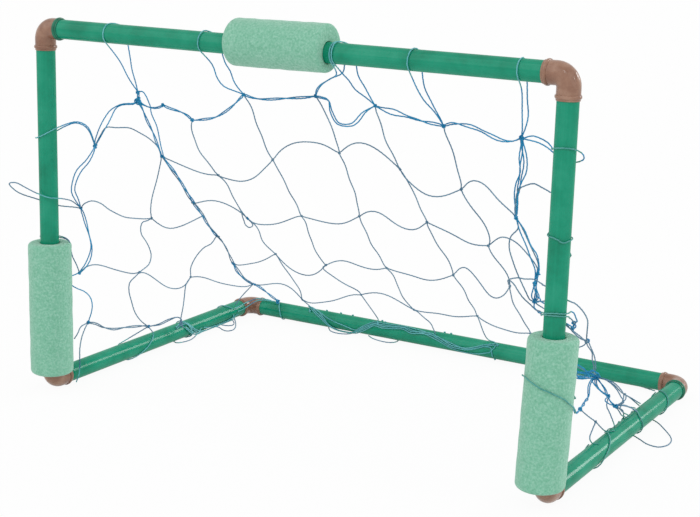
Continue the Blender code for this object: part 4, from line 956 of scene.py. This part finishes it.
RIGHT_MESH_ROUTES = [
    (ONE, "foot", (0.424, 0.190, 0.055), "fork"),
    (ONE, "rail2", (0.414, 0.295, 0.038), (0.421, 0.291, 0.030), (0.428, 0.288, 0.019),
     (0.437, 0.272, 0.0160)),
    (ONE, "rail", (0.433, 0.310, 0.039), (0.441, 0.325, 0.033), (0.445, 0.338, 0.025),
     (0.4465, 0.348, 0.0185)),
    (ONE, "bunch1", (0.349, 0.071, 0.349), (0.336, 0.078, 0.335), (0.331, 0.083, 0.326),
     (0.328, 0.091, 0.312), (0.330, 0.102, 0.293), (0.334, 0.109, 0.276), (0.338, 0.114, 0.263),
     (0.345, 0.119, 0.246), (0.350, 0.125, 0.234), "bunch3"),
    (ONE, "bunch1", (0.352, 0.051, 0.392), (0.357, 0.047, 0.408), (0.367, 0.045, 0.415),
     (0.380, 0.044, 0.4195), (0.394, 0.041, 0.416), (0.412, 0.028, 0.413), (0.430, 0.0180, 0.408),
     (0.440, 0.0170, 0.398), (0.434, 0.0170, 0.380), (0.4262, 0.0085, 0.3690), (0.4238, -0.0030, 0.3645),
     (0.4289, -0.0125, 0.3635), (0.4357, -0.0162, 0.3632), (0.4430, -0.0165, 0.3615),
     (0.4502, -0.0133, 0.3575), (0.4543, -0.0087, 0.3590), (0.4562, -0.0043, 0.3600),
     (0.4562, 0.0035, 0.3610), (0.4510, 0.0125, 0.3610), (0.4430, 0.0175, 0.3590), (0.4440, 0.0178, 0.3480),
     (0.4500, 0.0138, 0.3400), (0.4532, 0.0102, 0.3370), (0.4505, 0.0138, 0.3340), (0.4440, 0.0180, 0.3250),
     (0.430, 0.0240, 0.300), (0.405, 0.062, 0.264), (0.376, 0.110, 0.240), "bunch3"),
    (ONE, (0.255, 0.265, 0.210), (0.290, 0.180, 0.2385), (0.317, 0.120, 0.2600), (0.323, 0.113, 0.2640),
     (0.334, 0.112, 0.2675), (0.345, 0.112, 0.2675), (0.361, 0.110, 0.2695), (0.371, 0.106, 0.267),
     (0.390, 0.070, 0.275), (0.410, 0.034, 0.283), (0.432, 0.0195, 0.279), (0.446, 0.0190, 0.274),
     (0.453, 0.0200, 0.2715), (0.457, 0.026, 0.2685), (0.462, 0.040, 0.257), (0.464, 0.055, 0.241),
     (0.458, 0.075, 0.221), (0.449, 0.098, 0.1985), (0.430, 0.150, 0.180), "post4"),
    (ONE, "post4", (0.383, 0.262, 0.139), (0.370, 0.270, 0.131), (0.352, 0.272, 0.125)),
    (ONE, "post4", (0.393, 0.282, 0.119), (0.390, 0.297, 0.100), (0.386, 0.308, 0.087), "tangle2"),
    (ONE, "tangle", (0.398, 0.325, 0.0705), (0.409, 0.335, 0.061), (0.417, 0.345, 0.048),
     (0.421, 0.355, 0.041), (0.427, 0.375, 0.030), (0.434, 0.393, 0.0185)),
    (ONE, "tangle", (0.394, 0.322, 0.0720), (0.407, 0.325, 0.066), (0.418, 0.325, 0.057),
     (0.425, 0.325, 0.047), (0.430, 0.325, 0.040), "rail"),
    (ONE, "rail", (0.426, 0.320, 0.031), (0.425, 0.333, 0.037), (0.420, 0.350, 0.044),
     (0.406, 0.348, 0.058), (0.395, 0.330, 0.069), "tangle"),
    (ONE, (0.421, 0.352, 0.044), (0.426, 0.342, 0.047), (0.431, 0.330, 0.043), "rail"),
    (ONE, "fork", (0.430, 0.226, 0.030), (0.4345, 0.246, 0.0165), (0.443, 0.256, 0.0160)),
    (ONE, "fork", (0.428, 0.201, 0.030), (0.430, 0.188, 0.022), (0.4345, 0.187, 0.0158),
     (0.444, 0.190, 0.0157)),
    (ONE, "rail", (0.427, 0.314, 0.028), (0.431, 0.322, 0.018), (0.440, 0.325, 0.0160)),
    (ONE, "rail", (0.426, 0.322, 0.028), (0.430, 0.331, 0.020), (0.438, 0.334, 0.0162)),
    (ONE, (0.420, 0.351, 0.043), (0.422, 0.370, 0.034), (0.4255, 0.388, 0.022), (0.432, 0.394, 0.0145)),
    (ONE, "rail", (0.4255, 0.342, 0.029), (0.428, 0.360, 0.021), (0.4315, 0.377, 0.0150)),
    (ONE, (0.428, 0.430, 0.000), (0.4255, 0.432, -0.010), (0.4330, 0.432, -0.0165), (0.444, 0.429, -0.0167),
     (0.456, 0.419, -0.0167), (0.470, 0.402, -0.0167), (0.484, 0.384, -0.0167), (0.496, 0.365, -0.0167),
     (0.503, 0.345, -0.0167), (0.503, 0.325, -0.0167), (0.494, 0.312, -0.0167), (0.477, 0.315, -0.0167),
     (0.459, 0.329, -0.0167), (0.444, 0.340, -0.0167), (0.432, 0.347, -0.0165), (0.4250, 0.348, -0.008),
     (0.4240, 0.347, 0.004), (0.4245, 0.341, 0.018), "rail"),
]
RIGHT_RAIL_WINDS = [
    (ONE, (0.254, -46, 0), (0.246, -20, 0), (0.236, 5, 0), (0.222, 35, 0), (0.204, 65, 0), (0.186, 92, 0),
     (0.173, 113, 0.0006), (0.168, 150, 0), (0.174, 200, 0), (0.186, 260, 0), (0.191, 314, 0)),
    (ONE, (0.376, -45, 0), (0.366, -10, 0), (0.355, 14, 0), (0.348, 31, 0), (0.345, 60, 0), (0.346, 110, 0),
     (0.350, 180, 0), (0.356, 250, 0)),
    (ONE, (0.486, -30, 0), (0.476, 18, 0), (0.468, 63, 0), (0.460, 100, 0), (0.454, 125, 0),
     (0.456, 180, 0), (0.468, 250, 0), (0.480, 320, 0)),
    (ONE, (0.265, -20, 0), (0.272, -70, 0), (0.290, -140, 0), (0.310, -150, 0), (0.323, -60, 0)),
    (ONE, (0.334, -46, 0), (0.340, -100, 0), (0.352, -150, 0), (0.368, -150, 0), (0.381, -60, 0)),
]

# Twine behind the right upright, which the right float lifts when it slides up, and where the
# lift starts and is whole
RIGHT_LIFTED_ROUTES = [
    (ONE, "bunch3", (0.355, 0.128, 0.225), (0.370, 0.105, 0.226), (0.396, 0.050, 0.240),
     (0.4180, 0.006, 0.254), (0.4243, -0.0060, 0.2575), (0.4330, -0.0152, 0.2600),
     (0.4459, -0.0157, 0.2620), (0.4546, -0.0083, 0.2610), (0.4575, 0.0040, 0.2600),
     (0.4560, 0.0160, 0.2590), (0.4575, 0.0220, 0.2560), (0.4575, 0.0310, 0.2470), (0.448, 0.060, 0.234),
     "post3"),
    (ONE, "bunch3", (0.366, 0.120, 0.236), (0.385, 0.088, 0.244), (0.406, 0.050, 0.252),
     (0.428, 0.0220, 0.247), (0.440, 0.0190, 0.243), (0.4490, 0.0190, 0.2408), (0.4520, 0.0240, 0.2375),
     (0.4500, 0.0420, 0.2300), (0.440, 0.072, 0.221), "post3b"),
]
RIGHT_LIFTED_MESH_ROUTES = [
    (ONE, (0.320, 0.114, 0.262), (0.327, 0.116, 0.256), (0.333, 0.119, 0.246), (0.340, 0.121, 0.237),
     (0.349, 0.129, 0.226), (0.356, 0.127, 0.222), (0.372, 0.100, 0.228), (0.400, 0.045, 0.243),
     (0.4180, 0.006, 0.2500), (0.4243, -0.0060, 0.2550), (0.4332, -0.0152, 0.2576),
     (0.4461, -0.0156, 0.2587), (0.4547, -0.0080, 0.2575), (0.4575, 0.0040, 0.2550),
     (0.4545, 0.0145, 0.2505), (0.4530, 0.0230, 0.2475), (0.4530, 0.0350, 0.2400), (0.442, 0.066, 0.229),
     "post3"),
    (ONE, (0.436, 0.0190, 0.2450), (0.4480, 0.0215, 0.2385), (0.4505, 0.0420, 0.2235),
     (0.447, 0.072, 0.2085), "post4"),
]
RIGHT_LIFT = ((0.440, 0.085, 0.215), (0.450, 0.030, 0.240))

# The loop round the right float: degrees round the float from its front, and heights, and the
# two leads that join it to its knot
FLOAT_WRAP = [
    (122, 0.119), (112, 0.1225), (102, 0.1275), (86, 0.1345), (71, 0.1415), (57, 0.149), (41, 0.1545),
    (24, 0.1595), (6, 0.1632), (-19, 0.169), (-33, 0.1715), (-46, 0.1722), (-58, 0.1712), (-68, 0.1695),
    (-80, 0.1662), (-95, 0.1622), (-125, 0.156), (-160, 0.150), (-200, 0.144), (-222, 0.1405),
    (-235, 0.1392), (-226, 0.1370), (-212, 0.132),
]
FLOAT_WRAP_LEADS = [
    [(0.422, 0.150, 0.0705), (0.4275, 0.130, 0.0795), (0.436, 0.100, 0.096), (0.449, 0.060, 0.113)],
    [(0.4475, 0.045, 0.118), (0.435, 0.100, 0.0935), (0.4265, 0.135, 0.0770)],
]

# The loop's centre is off the pipe's axis by this share of the float's lean
FLOAT_WRAP_LEAN = 0.30

# The sizes of a plain knot, of a nub, and of the knots that are larger than the rest. A knot
# above the big size has a second one inside it, smaller by the inner share
PLAIN_KNOT = 1.1
NUB = 0.7
BIG_KNOT = 1.8
INNER_KNOT = 0.8
KNOT_SIZES = {
    "top0": 1.9, "knot0": 2.2, "under0": 1.9, "edge0": 2.6, "edge1": 1.4, "edge4": 1.4, "edge5": 1.3,
    "bar0": 2.6, "tie0": 1.7, "r1c1": 1.9, "r1c2": 1.6, "r1c3": 1.8, "r1c4": 1.7, "r1c5": 1.6, "r3c1": 1.7,
    "far0": 2.0, "far1": 1.6, "far2": 1.3, "far3": 1.3, "post1": 2.8, "post2": 1.5, "post4": 1.9,
    "mid4": 1.9, "head": 1.4, "blob1": 1.6, "bunch1": 1.5, "bunch2": 1.8, "bunch3": 2.0, "tangle": 2.0,
    "tangle2": 1.6, "foot": 1.9, "rail": 2.8, "post3": 2.0, "post3b": 1.8, "rail2": 2.0,
}

# A knot of size 1: the scale of its three-lobed line, which has this many points
KNOT_SCALE = 0.00052
KNOT_POINTS = 40


def swing(start, end, direction, near, far):
    """Points inside a strand that leaves its straight line by near and far at its thirds."""
    run = end - start
    first = start + run / 3 + direction * (3 * near - 1.5 * far)
    second = end - run / 3 + direction * (3 * far - 1.5 * near)
    points = []
    for step in range(1, SWING_POINTS + 1):
        share = step / (SWING_POINTS + 1)
        rest = 1 - share
        points.append(
            start * rest ** 3 + first * 3 * share * rest ** 2
            + second * 3 * share ** 2 * rest + end * share ** 3)
    return points


def turn_over_crossbar(start, end, at, to):
    """Places of a turn up the crossbar's front and down behind it, from at to to along the bar.

    It meets the bar at the tangent off start and leaves it at the tangent off end.
    """
    centre = Z_AXIS * GOAL_HEIGHT
    radius = PIPE_RADIUS + TWINE_RADIUS

    def polar(point):
        off = point - centre
        return math.atan2(off.z, off.y), math.hypot(off.z, off.y)

    start_angle, start_distance = polar(start)
    end_angle, end_distance = polar(end)
    lean = math.acos(radius / start_distance)
    winding = max((1, -1), key=lambda way: -math.cos(start_angle + way * lean))
    first = start_angle + winding * lean
    last = end_angle - winding * math.acos(radius / end_distance)
    sweep = (last - first) * winding % (2 * math.pi)
    count = max(4, round(TURN_POINTS * sweep / (2 * math.pi)) + 1)
    route = []
    for step in range(count):
        share = step / (count - 1)
        angle = first + winding * sweep * share
        onward = max(0.0, (share - TURN_SQUARE) / (1 - TURN_SQUARE))
        along = at + (to - at) * onward * onward * (3 - 2 * onward)
        route.append(centre + Vector((along, radius * math.cos(angle), radius * math.sin(angle))))
    return route


def smooth_line(points):
    """Even points along a centripetal curve through the route's points."""
    route = [np.array(point) for point in points]
    route.insert(0, 2 * route[0] - route[1])
    route.append(2 * route[-1] - route[-2])
    line = []
    for a, b, c, d in zip(route, route[1:], route[2:], route[3:]):
        knots = [0.0]
        for first, second in ((a, b), (b, c), (c, d)):
            knots.append(knots[-1] + max(np.linalg.norm(second - first), 1e-6) ** 0.5)
        t0, t1, t2, t3 = knots
        count = max(2, int(np.linalg.norm(c - b) / TWINE_STEP) + 1)
        t = np.linspace(t1, t2, count, endpoint=False)[:, None]
        ab = (t1 - t) / (t1 - t0) * a + (t - t0) / (t1 - t0) * b
        bc = (t2 - t) / (t2 - t1) * b + (t - t1) / (t2 - t1) * c
        cd = (t3 - t) / (t3 - t2) * c + (t - t2) / (t3 - t2) * d
        abc = (t2 - t) / (t2 - t0) * ab + (t - t0) / (t2 - t0) * bc
        bcd = (t3 - t) / (t3 - t1) * bc + (t - t1) / (t3 - t1) * cd
        line.append((t2 - t) / (t2 - t1) * abc + (t - t1) / (t2 - t1) * bcd)
    line = np.concatenate(line + [route[-2][None, :]])
    lengths = distances_along(line)
    count = max(3, int(lengths[-1] / TWINE_STEP) + 1)
    places = np.linspace(0.0, lengths[-1], count)
    return np.stack([np.interp(places, lengths, line[:, k]) for k in range(3)], axis=1)


def distances_along(line):
    steps = np.linalg.norm(np.diff(line, axis=0), axis=1)
    return np.concatenate([[0.0], np.cumsum(steps)])


def cross_directions(line):
    """Two directions across a line at each of its points, turned as little as may be."""
    travel = np.gradient(line, axis=0)
    travel /= np.linalg.norm(travel, axis=1)[:, None]
    hint = np.array((0.0, 0.0, 1.0)) if abs(travel[0][2]) < 0.8 else np.array((1.0, 0.0, 0.0))
    side = np.cross(travel[0], hint)
    sides = []
    for direction in travel:
        side = side - direction * side.dot(direction)
        side = side / np.linalg.norm(side)
        sides.append(side)
    sides = np.array(sides)
    return sides, np.cross(travel, sides)


# The looks of the twine: the blue cord of the edges and ties, the greyer mesh, and either of them
# where it lies on a pipe or a float, whose green shows through it, darker on the right by painted shade
BLUE, GREY, LYING, SHADED_LYING = range(4)

# The pipes that twine lies on, each by a place on its axis and its direction, and how far from
# the axis the middle of such twine may be
LYING_REACH = PIPE_RADIUS + 0.0075
SUPPORTS = [
    (Z_AXIS * GOAL_HEIGHT, X_AXIS),
    (Y_AXIS * GOAL_DEPTH, X_AXIS),
    (X_AXIS * LEFT, Y_AXIS),
    (X_AXIS * RIGHT, Y_AXIS),
    (X_AXIS * LEFT, Z_AXIS),
    (X_AXIS * RIGHT, Z_AXIS),
]


def lying(line):
    """Which points of a line lie on a pipe."""
    near = np.zeros(len(line), dtype=bool)
    for centre, axis in SUPPORTS:
        off = line - np.array(ORIGIN + centre)
        off = off - np.outer(off @ np.array(axis), np.array(axis))
        near |= np.linalg.norm(off, axis=1) < LYING_REACH
    return near


class Netting:
    """Twine gathered into one mesh: each line becomes a twisted cord of three plies.

    The seed goes up with each strand and cord and sets their phases, so that no two are alike.
    """

    def __init__(self, on_pipe):
        self.on_pipe = on_pipe
        self.verts = []
        self.faces = []
        self.uvs = []
        self.looks = []
        self.count = 0
        self.length = 0.0
        self.seed = 0

    def cord(self, line, look):
        """Sweep the lobed section of the twine along even points."""
        self.seed += 1
        first, second = cross_directions(line)
        along = distances_along(line)
        self.length += along[-1]
        sides = 2 * TWINE_PLIES
        rows = len(line)
        twist = 2 * math.pi * along / TWINE_PITCH + self.seed * 0.7
        angle = twist[:, None] + 2 * math.pi * np.arange(sides)[None, :] / sides
        lobes = np.where(np.arange(sides) % 2 == 0, 1.0, TWINE_VALLEY)[None, :] * TWINE_RADIUS
        verts = (
            line[:, None, :]
            + (np.cos(angle) * lobes)[:, :, None] * first[:, None, :]
            + (np.sin(angle) * lobes)[:, :, None] * second[:, None, :])
        self.verts.append(verts.reshape(-1, 3))
        index = self.count + np.arange(rows * sides).reshape(rows, sides)
        self.count += rows * sides
        after = np.roll(index, -1, axis=1)
        self.faces.append(np.stack([index[:-1], after[:-1], after[1:], index[1:]], axis=2).reshape(-1, 4))
        self.looks.append(np.repeat(np.broadcast_to(look, rows - 1), sides))
        u = along / TWINE_PITCH
        near_u = np.repeat(u[:-1, None], sides, 1)
        far_u = np.repeat(u[1:, None], sides, 1)
        near_v = np.repeat(np.arange(sides)[None, :] / sides, rows - 1, 0)
        far_v = near_v + 1 / sides
        quad_u = np.stack([near_u, near_u, far_u, far_u], axis=2)
        quad_v = np.stack([near_v, far_v, far_v, near_v], axis=2)
        self.uvs.append(np.stack([quad_u, quad_v], axis=3).reshape(-1, 2))

    def strand(self, points, kind, waver, look):
        """A stretch of netting along a route: one twine, or two that lie close or open apart."""
        self.seed += 1
        line = smooth_line(points)
        first, second = cross_directions(line)
        length = distances_along(line)[-1]
        share = np.linspace(0.0, 1.0, len(line))
        from_end = np.minimum(share, 1 - share) * length
        fade = np.clip(from_end / WAVER_FADE, 0.0, 1.0)[:, None]
        first_rate, second_rate = WAVER_RATES
        line = line + fade * waver * min(1.0, length / WAVER_FULL_LENGTH) * (
            np.sin(share * length * first_rate + self.seed * 1.9)[:, None] * first
            + np.sin(share * length * second_rate + self.seed * 3.1)[:, None] * second)
        look = np.where(lying(line)[1:], self.on_pipe, look)
        if kind == ONE:
            self.cord(line, look)
            return
        half_turns = length / PAIR_HALF_TURN
        spread = PAIR_REACH
        if kind == OPEN:
            half_turns = 1.0 + (self.seed * 0.37) % 0.9
            opening = OPENING + OPENING_DIFFERS * math.sin(self.seed * 2.1)
            spread = PAIR_REACH + opening * np.sin(math.pi * (share * 2 % 1)) ** 2
        angle = math.pi * half_turns * share + 2 * math.pi * self.seed * 0.27
        pair = (spread * np.cos(angle))[:, None] * first + (spread * np.sin(angle))[:, None] * second
        gather = np.clip(from_end / GATHER_LENGTH, GATHER_LEAST, 1.0)[:, None]
        self.cord(line + pair * gather, look)
        self.cord(line - pair * gather, look)

    def knot(self, centre, leaving, size, look):
        """A tight knot: a three-lobed closed turn of twine in the plane of the strands."""
        first = leaving[0].normalized()
        best = min(leaving[1:], key=lambda other: abs(other.normalized().dot(first)), default=Z_AXIS)
        third = first.cross(best)
        if third.length < 1e-3:
            third = first.orthogonal()
        third.normalize()
        second = third.cross(first)
        line = []
        for step in range(KNOT_POINTS + 1):
            t = 2 * math.pi * step / KNOT_POINTS
            x = math.sin(t) + 2 * math.sin(2 * t)
            y = math.cos(t) - 2 * math.cos(2 * t)
            z = -1.3 * math.sin(3 * t)
            line.append(centre + KNOT_SCALE * size * (x * first + y * second + z * third))
        self.cord(np.array(line), look)

    def mesh(self, name):
        mesh = bpy.data.meshes.new(name)
        verts = np.concatenate(self.verts)
        faces = np.concatenate(self.faces)
        mesh.vertices.add(len(verts))
        mesh.vertices.foreach_set("co", verts.ravel())
        mesh.loops.add(4 * len(faces))
        mesh.loops.foreach_set("vertex_index", faces.ravel())
        mesh.polygons.add(len(faces))
        mesh.polygons.foreach_set("loop_start", np.arange(len(faces)) * 4)
        mesh.polygons.foreach_set("material_index", np.concatenate(self.looks))
        mesh.update(calc_edges=True)
        layer = mesh.uv_layers.new(name="twine")
        layer.data.foreach_set("uv", np.concatenate(self.uvs).ravel())
        mesh.validate()
        mesh.shade_smooth()
        return mesh


class Panel:
    """A panel of netting: knots, the strands between them and the turns round the pipes."""

    def __init__(self, knots, on_pipe=LYING):
        self.knots = {name: Vector(place) for name, place in knots.items()}
        self.leaving = {name: [] for name in knots}
        self.netting = Netting(on_pipe)

    def place(self, spot):
        """The place of a knot, given by name, or of a spot given by its coordinates."""
        return self.knots[spot] if isinstance(spot, str) else Vector(spot)

    def route(self, kind, *spots, waver=WAVER, look=BLUE):
        """A strand through spots, tied as kind says."""
        places = [self.place(spot) for spot in spots]
        for before, spot, after in zip([None] + places[:-1], spots, places[1:] + [None]):
            if isinstance(spot, str):
                self.leaving[spot] += [near - self.knots[spot] for near in (before, after) if near]
        self.netting.strand([ORIGIN + place for place in places], kind, waver, look)

    def routes(self, table, **manner):
        for route in table:
            self.route(*route, **manner)

    def swung(self, table, direction):
        """Strands that swing off their straight lines, single ones in the mesh's look."""
        for start, end, near, far, kind in table:
            between = swing(self.knots[start], self.knots[end], direction, near, far)
            self.route(kind, start, *between, end, look=GREY if kind == ONE else BLUE)

    def hanging_turn(self, name, at, to, front, back):
        """A turn over the crossbar, up its front and down behind it, on two legs."""
        front = [self.place(spot) for spot in front]
        back = [self.place(spot) for spot in back]
        over = turn_over_crossbar(front[0], back[0], at, to)
        self.route(ONE, name, *reversed(front), *over, *back, name)

    def winds(self, table, bar):
        """Twine wound on a bar, two that lie close side by side round it."""
        for kind, *stops in table:
            for shift in (-PAIR_DEGREES, PAIR_DEGREES) if kind == PAIR else (0.0,):
                beside = [(place, degrees + shift, lift) for place, degrees, lift in stops]
                self.route(ONE, *wound(beside, *bar), waver=0.0)

    def tie(self):
        """A knot at each place that strands leave."""
        for name, leaving in self.leaving.items():
            if leaving:
                size = KNOT_SIZES.get(name, PLAIN_KNOT)
                look = GREY if size == PLAIN_KNOT else BLUE
                self.netting.knot(ORIGIN + self.knots[name], leaving, size, look)
                if size > BIG_KNOT:
                    self.netting.knot(ORIGIN + self.knots[name], [Z_AXIS, X_AXIS], size * INNER_KNOT, look)


def wound(stops, centre, axis, out):
    """Places of twine on a bar about centre, its degrees counted from the top towards out."""
    route = []
    for place, degrees, lift in even_stops(stops):
        angle = math.radians(degrees)
        reach = PIPE_RADIUS + TWINE_RADIUS + WIND_GAP + lift
        around = math.sin(angle) * out + math.cos(angle) * Z_AXIS
        route.append(centre + axis * place + reach * around)
    return route


def even_stops(stops):
    """Stops along a bar with more between them, so that twine follows the bar's round side."""
    smooth = []
    for first, second in zip(stops, stops[1:]):
        count = max(1, round(abs(second[1] - first[1]) / WIND_DEGREES))
        for step in range(count):
            share = step / count
            smooth.append([a + (b - a) * share for a, b in zip(first, second)])
    return smooth + [stops[-1]]


# The bars that twine is wound on: a centre, the bar's direction and the side in view
REAR_BAR = (Y_AXIS * GOAL_DEPTH, X_AXIS, -Y_AXIS)
LEFT_RAIL = (X_AXIS * LEFT, Y_AXIS, X_AXIS)
RIGHT_RAIL = (X_AXIS * RIGHT, Y_AXIS, X_AXIS)


def back_panel():
    panel = Panel(BACK_KNOTS)
    panel.swung(BACK_ROWS, Z_AXIS)
    panel.swung(BACK_COLUMNS, X_AXIS)
    panel.routes(BACK_ROUTES)
    for knot, *stops in REAR_BAR_FEET:
        foot = wound(stops, *REAR_BAR)
        panel.route(ONE, knot, *foot, waver=0.0, look=GREY)
        panel.netting.knot(ORIGIN + foot[-1], [X_AXIS, Z_AXIS], PLAIN_KNOT, LYING)
    for place, degrees in REAR_BAR_NUBS:
        nub, = wound([(place, degrees, NUB_LIFT)], *REAR_BAR)
        panel.netting.knot(ORIGIN + nub, [X_AXIS, Z_AXIS], NUB, LYING)
    panel.routes(GROUND_STRANDS, waver=0.0, look=GREY)
    for turn in CROSSBAR_TURNS:
        panel.hanging_turn(*turn)
    panel.winds(REAR_BAR_WINDS, REAR_BAR)
    panel.routes(BACK_MESH_ROUTES, waver=SMALL_WAVER, look=GREY)
    panel.tie()
    return panel


def left_panel():
    panel = Panel(LEFT_KNOTS)
    panel.swung(LEFT_ROWS, Z_AXIS)
    panel.swung(LEFT_COLUMNS, X_AXIS)
    panel.routes(LEFT_ROUTES, waver=SMALL_WAVER)
    panel.routes(LEFT_MESH_ROUTES, waver=SMALL_WAVER, look=GREY)
    knot, *stops = LEFT_RAIL_TURN
    panel.route(ONE, knot, *wound(stops, *LEFT_RAIL), knot, waver=0.0, look=GREY)
    panel.winds(LEFT_RAIL_WINDS, LEFT_RAIL)
    loop = [X_AXIS * LEFT + Vector(spot) for spot in LEFT_UPRIGHT_LOOP]
    panel.route(ONE, "post2", *loop, "post2", look=GREY)
    panel.tie()
    return panel


def float_wrap():
    """Places of the twine round the right float."""
    centre = X_AXIS * RIGHT + RIGHT_FLOAT_LEAN * FLOAT_WRAP_LEAN
    reach = FLOAT_RADIUS + TWINE_RADIUS + WRAP_GAP
    around = []
    for degrees, height in FLOAT_WRAP:
        angle = math.radians(degrees)
        around.append(centre + Vector((reach * math.sin(angle), -reach * math.cos(angle), height)))
    return around


def right_panel():
    # Twine that lies on the right pipes takes the darker look: painted shade
    panel = Panel(RIGHT_KNOTS, SHADED_LYING)
    panel.routes(RIGHT_ROUTES, waver=SMALL_WAVER)
    panel.routes(RIGHT_MESH_ROUTES, waver=SMALL_WAVER, look=GREY)
    panel.winds(RIGHT_RAIL_WINDS, RIGHT_RAIL)
    around = float_wrap()
    enter, leave = FLOAT_WRAP_LEADS
    panel.route(ONE, "foot", *enter, around[0], waver=0.0)
    # The loop round the float in the darker look: painted shade
    panel.route(ONE, *around, waver=0.0, look=SHADED_LYING)
    panel.route(ONE, around[-1], *leave, "foot", waver=0.0)
    panel.tie()
    return panel


def add_nets(materials):
    panels = {"net_back": back_panel, "net_left_side": left_panel, "net_right_side": right_panel}
    for name, make_panel in panels.items():
        panel = make_panel()
        piece = add_piece(name + "_twine", panel.netting.mesh(name + "_twine"), materials)
        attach(piece, "root")
        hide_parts(name)
        print(name, "twine", round(panel.netting.length, 2), "m", len(piece.data.polygons), "quads")


def add_lifted_twine(materials):
    """The twine that lies over two floats, built in place on its own."""
    left = Panel(LEFT_KNOTS)
    left.routes(LEFT_LIFTED_ROUTES, waver=0.0, look=GREY)
    # Twine on the right pipes in the darker look: painted shade
    right = Panel(RIGHT_KNOTS, SHADED_LYING)
    right.routes(RIGHT_LIFTED_ROUTES, waver=0.0)
    right.routes(RIGHT_LIFTED_MESH_ROUTES, waver=0.0, look=GREY)
    for side, panel, lift in (("left", left, LEFT_LIFT), ("right", right, RIGHT_LIFT)):
        name = side + "_float_twine"
        piece = add_piece(name, panel.netting.mesh(name), materials)
        start, end = [tuple(ORIGIN + panel.place(spot)) for spot in lift]
        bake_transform(piece)


def whiten_in_view(tree, plain, white, share, output):
    """White by a share where a ray comes from the camera, a gloss or a clear thing, else plain."""
    path = tree.nodes.new("ShaderNodeLightPath")
    seen = path.outputs["Is Camera Ray"]
    for ray in ("Is Glossy Ray", "Is Transmission Ray"):
        either = tree.nodes.new("ShaderNodeMath")
        either.operation = "MAXIMUM"
        tree.links.new(seen, either.inputs[0])
        tree.links.new(path.outputs[ray], either.inputs[1])
        seen = either.outputs["Value"]
    part = tree.nodes.new("ShaderNodeMath")
    part.operation = "MULTIPLY"
    part.inputs[1].default_value = share
    mix = tree.nodes.new("ShaderNodeMixShader")
    tree.links.new(seen, part.inputs[0])
    tree.links.new(part.outputs["Value"], mix.inputs["Fac"])
    tree.links.new(plain, mix.inputs[1])
    tree.links.new(white, mix.inputs[2])
    tree.links.new(mix.outputs["Shader"], tree.nodes[output].inputs["Surface"])


# The floor: half its width, how far it lies under the goal, its grey, and how white it is seen
FLOOR_REACH = 40.0
FLOOR_DROP = 0.0002
FLOOR_GREY = 0.90
FLOOR_WHITE_SHARE = 0.94

# The light that the white world gives
WORLD_LIGHT = 0.62

# The suns: the direction that each shines from, its strength and its width in degrees
SUNS = {
    "key": ((-0.50, -0.60, 0.62), 0.64, 60),
    "fill": ((0.85, -0.25, 0.47), 0.34, 60),
    "back": ((0.47, 0.80, 0.33), 0.70, 20),
    "glint_front": ((0.24, -0.64, 0.73), 0.20, 8),
    "glint_side": ((0.88, 0.00, 0.48), 0.16, 8),
}
WHITE = (1.0, 1.0, 1.0, 1.0)


def add_floor():
    """A pale floor that reads white in the picture and keeps a faint shadow."""
    mesh = bpy.data.meshes.new("floor")
    corners = [(x * FLOOR_REACH, y * FLOOR_REACH, 0) for x, y in ((-1, -1), (1, -1), (1, 1), (-1, 1))]
    mesh.from_pydata(corners, [], [(0, 1, 2, 3)])
    floor = bpy.data.objects.new("floor", mesh)
    bpy.context.scene.collection.objects.link(floor)
    floor.location.z = -FLOOR_DROP
    shader = Shader("floor_white")
    shader.set(Base_Color=(FLOOR_GREY, FLOOR_GREY, FLOOR_GREY, 1.0), Roughness=1.0, Specular_IOR_Level=0.0)
    glow = shader.node("ShaderNodeEmission", Strength=1.0)
    whiten_in_view(shader.tree, shader.principled.outputs["BSDF"], glow.outputs["Emission"],
                   FLOOR_WHITE_SHARE, "Material Output")
    mesh.materials.append(shader.material)


def add_light():
    """A white world that lights less than it shows, and soft suns."""
    world = bpy.data.worlds.new("studio")
    bpy.context.scene.world = world
    world.use_nodes = True
    tree = world.node_tree
    light = tree.nodes["Background"]
    white = tree.nodes.new("ShaderNodeBackground")
    for background, strength in ((light, WORLD_LIGHT), (white, 1.0)):
        background.inputs["Color"].default_value = WHITE
        background.inputs["Strength"].default_value = strength
    whiten_in_view(tree, light.outputs["Background"], white.outputs["Background"], 1.0, "World Output")
    for name, (direction, strength, width) in SUNS.items():
        data = bpy.data.lights.new(name, "SUN")
        data.energy = strength
        data.angle = math.radians(width)
        lamp = bpy.data.objects.new(name, data)
        bpy.context.scene.collection.objects.link(lamp)
        lamp.matrix_world = Vector(direction).to_track_quat("Z", "Y").to_matrix().to_4x4()
    bpy.context.scene.view_settings.view_transform = "Standard"


add_camera()
add_pipes()
add_elbows(elbow_material(), lip_material())
add_floats(foam_material())
twine = [
    twine_material("blue_twine", TWINE_DARK, TWINE_BLUE, TWINE_PALE),
    twine_material("grey_twine", MESH_DARK, MESH_GREY, MESH_PALE),
    twine_material("lying_twine", LYING_DARK, LYING_GREEN, LYING_PALE),
    # The darker lying twine: painted shade
    twine_material("shaded_lying_twine", SHADED_LYING_DARK, SHADED_LYING_GREEN, SHADED_LYING_PALE),
]
add_nets(twine)
add_lifted_twine(twine)
add_floor()
add_light()
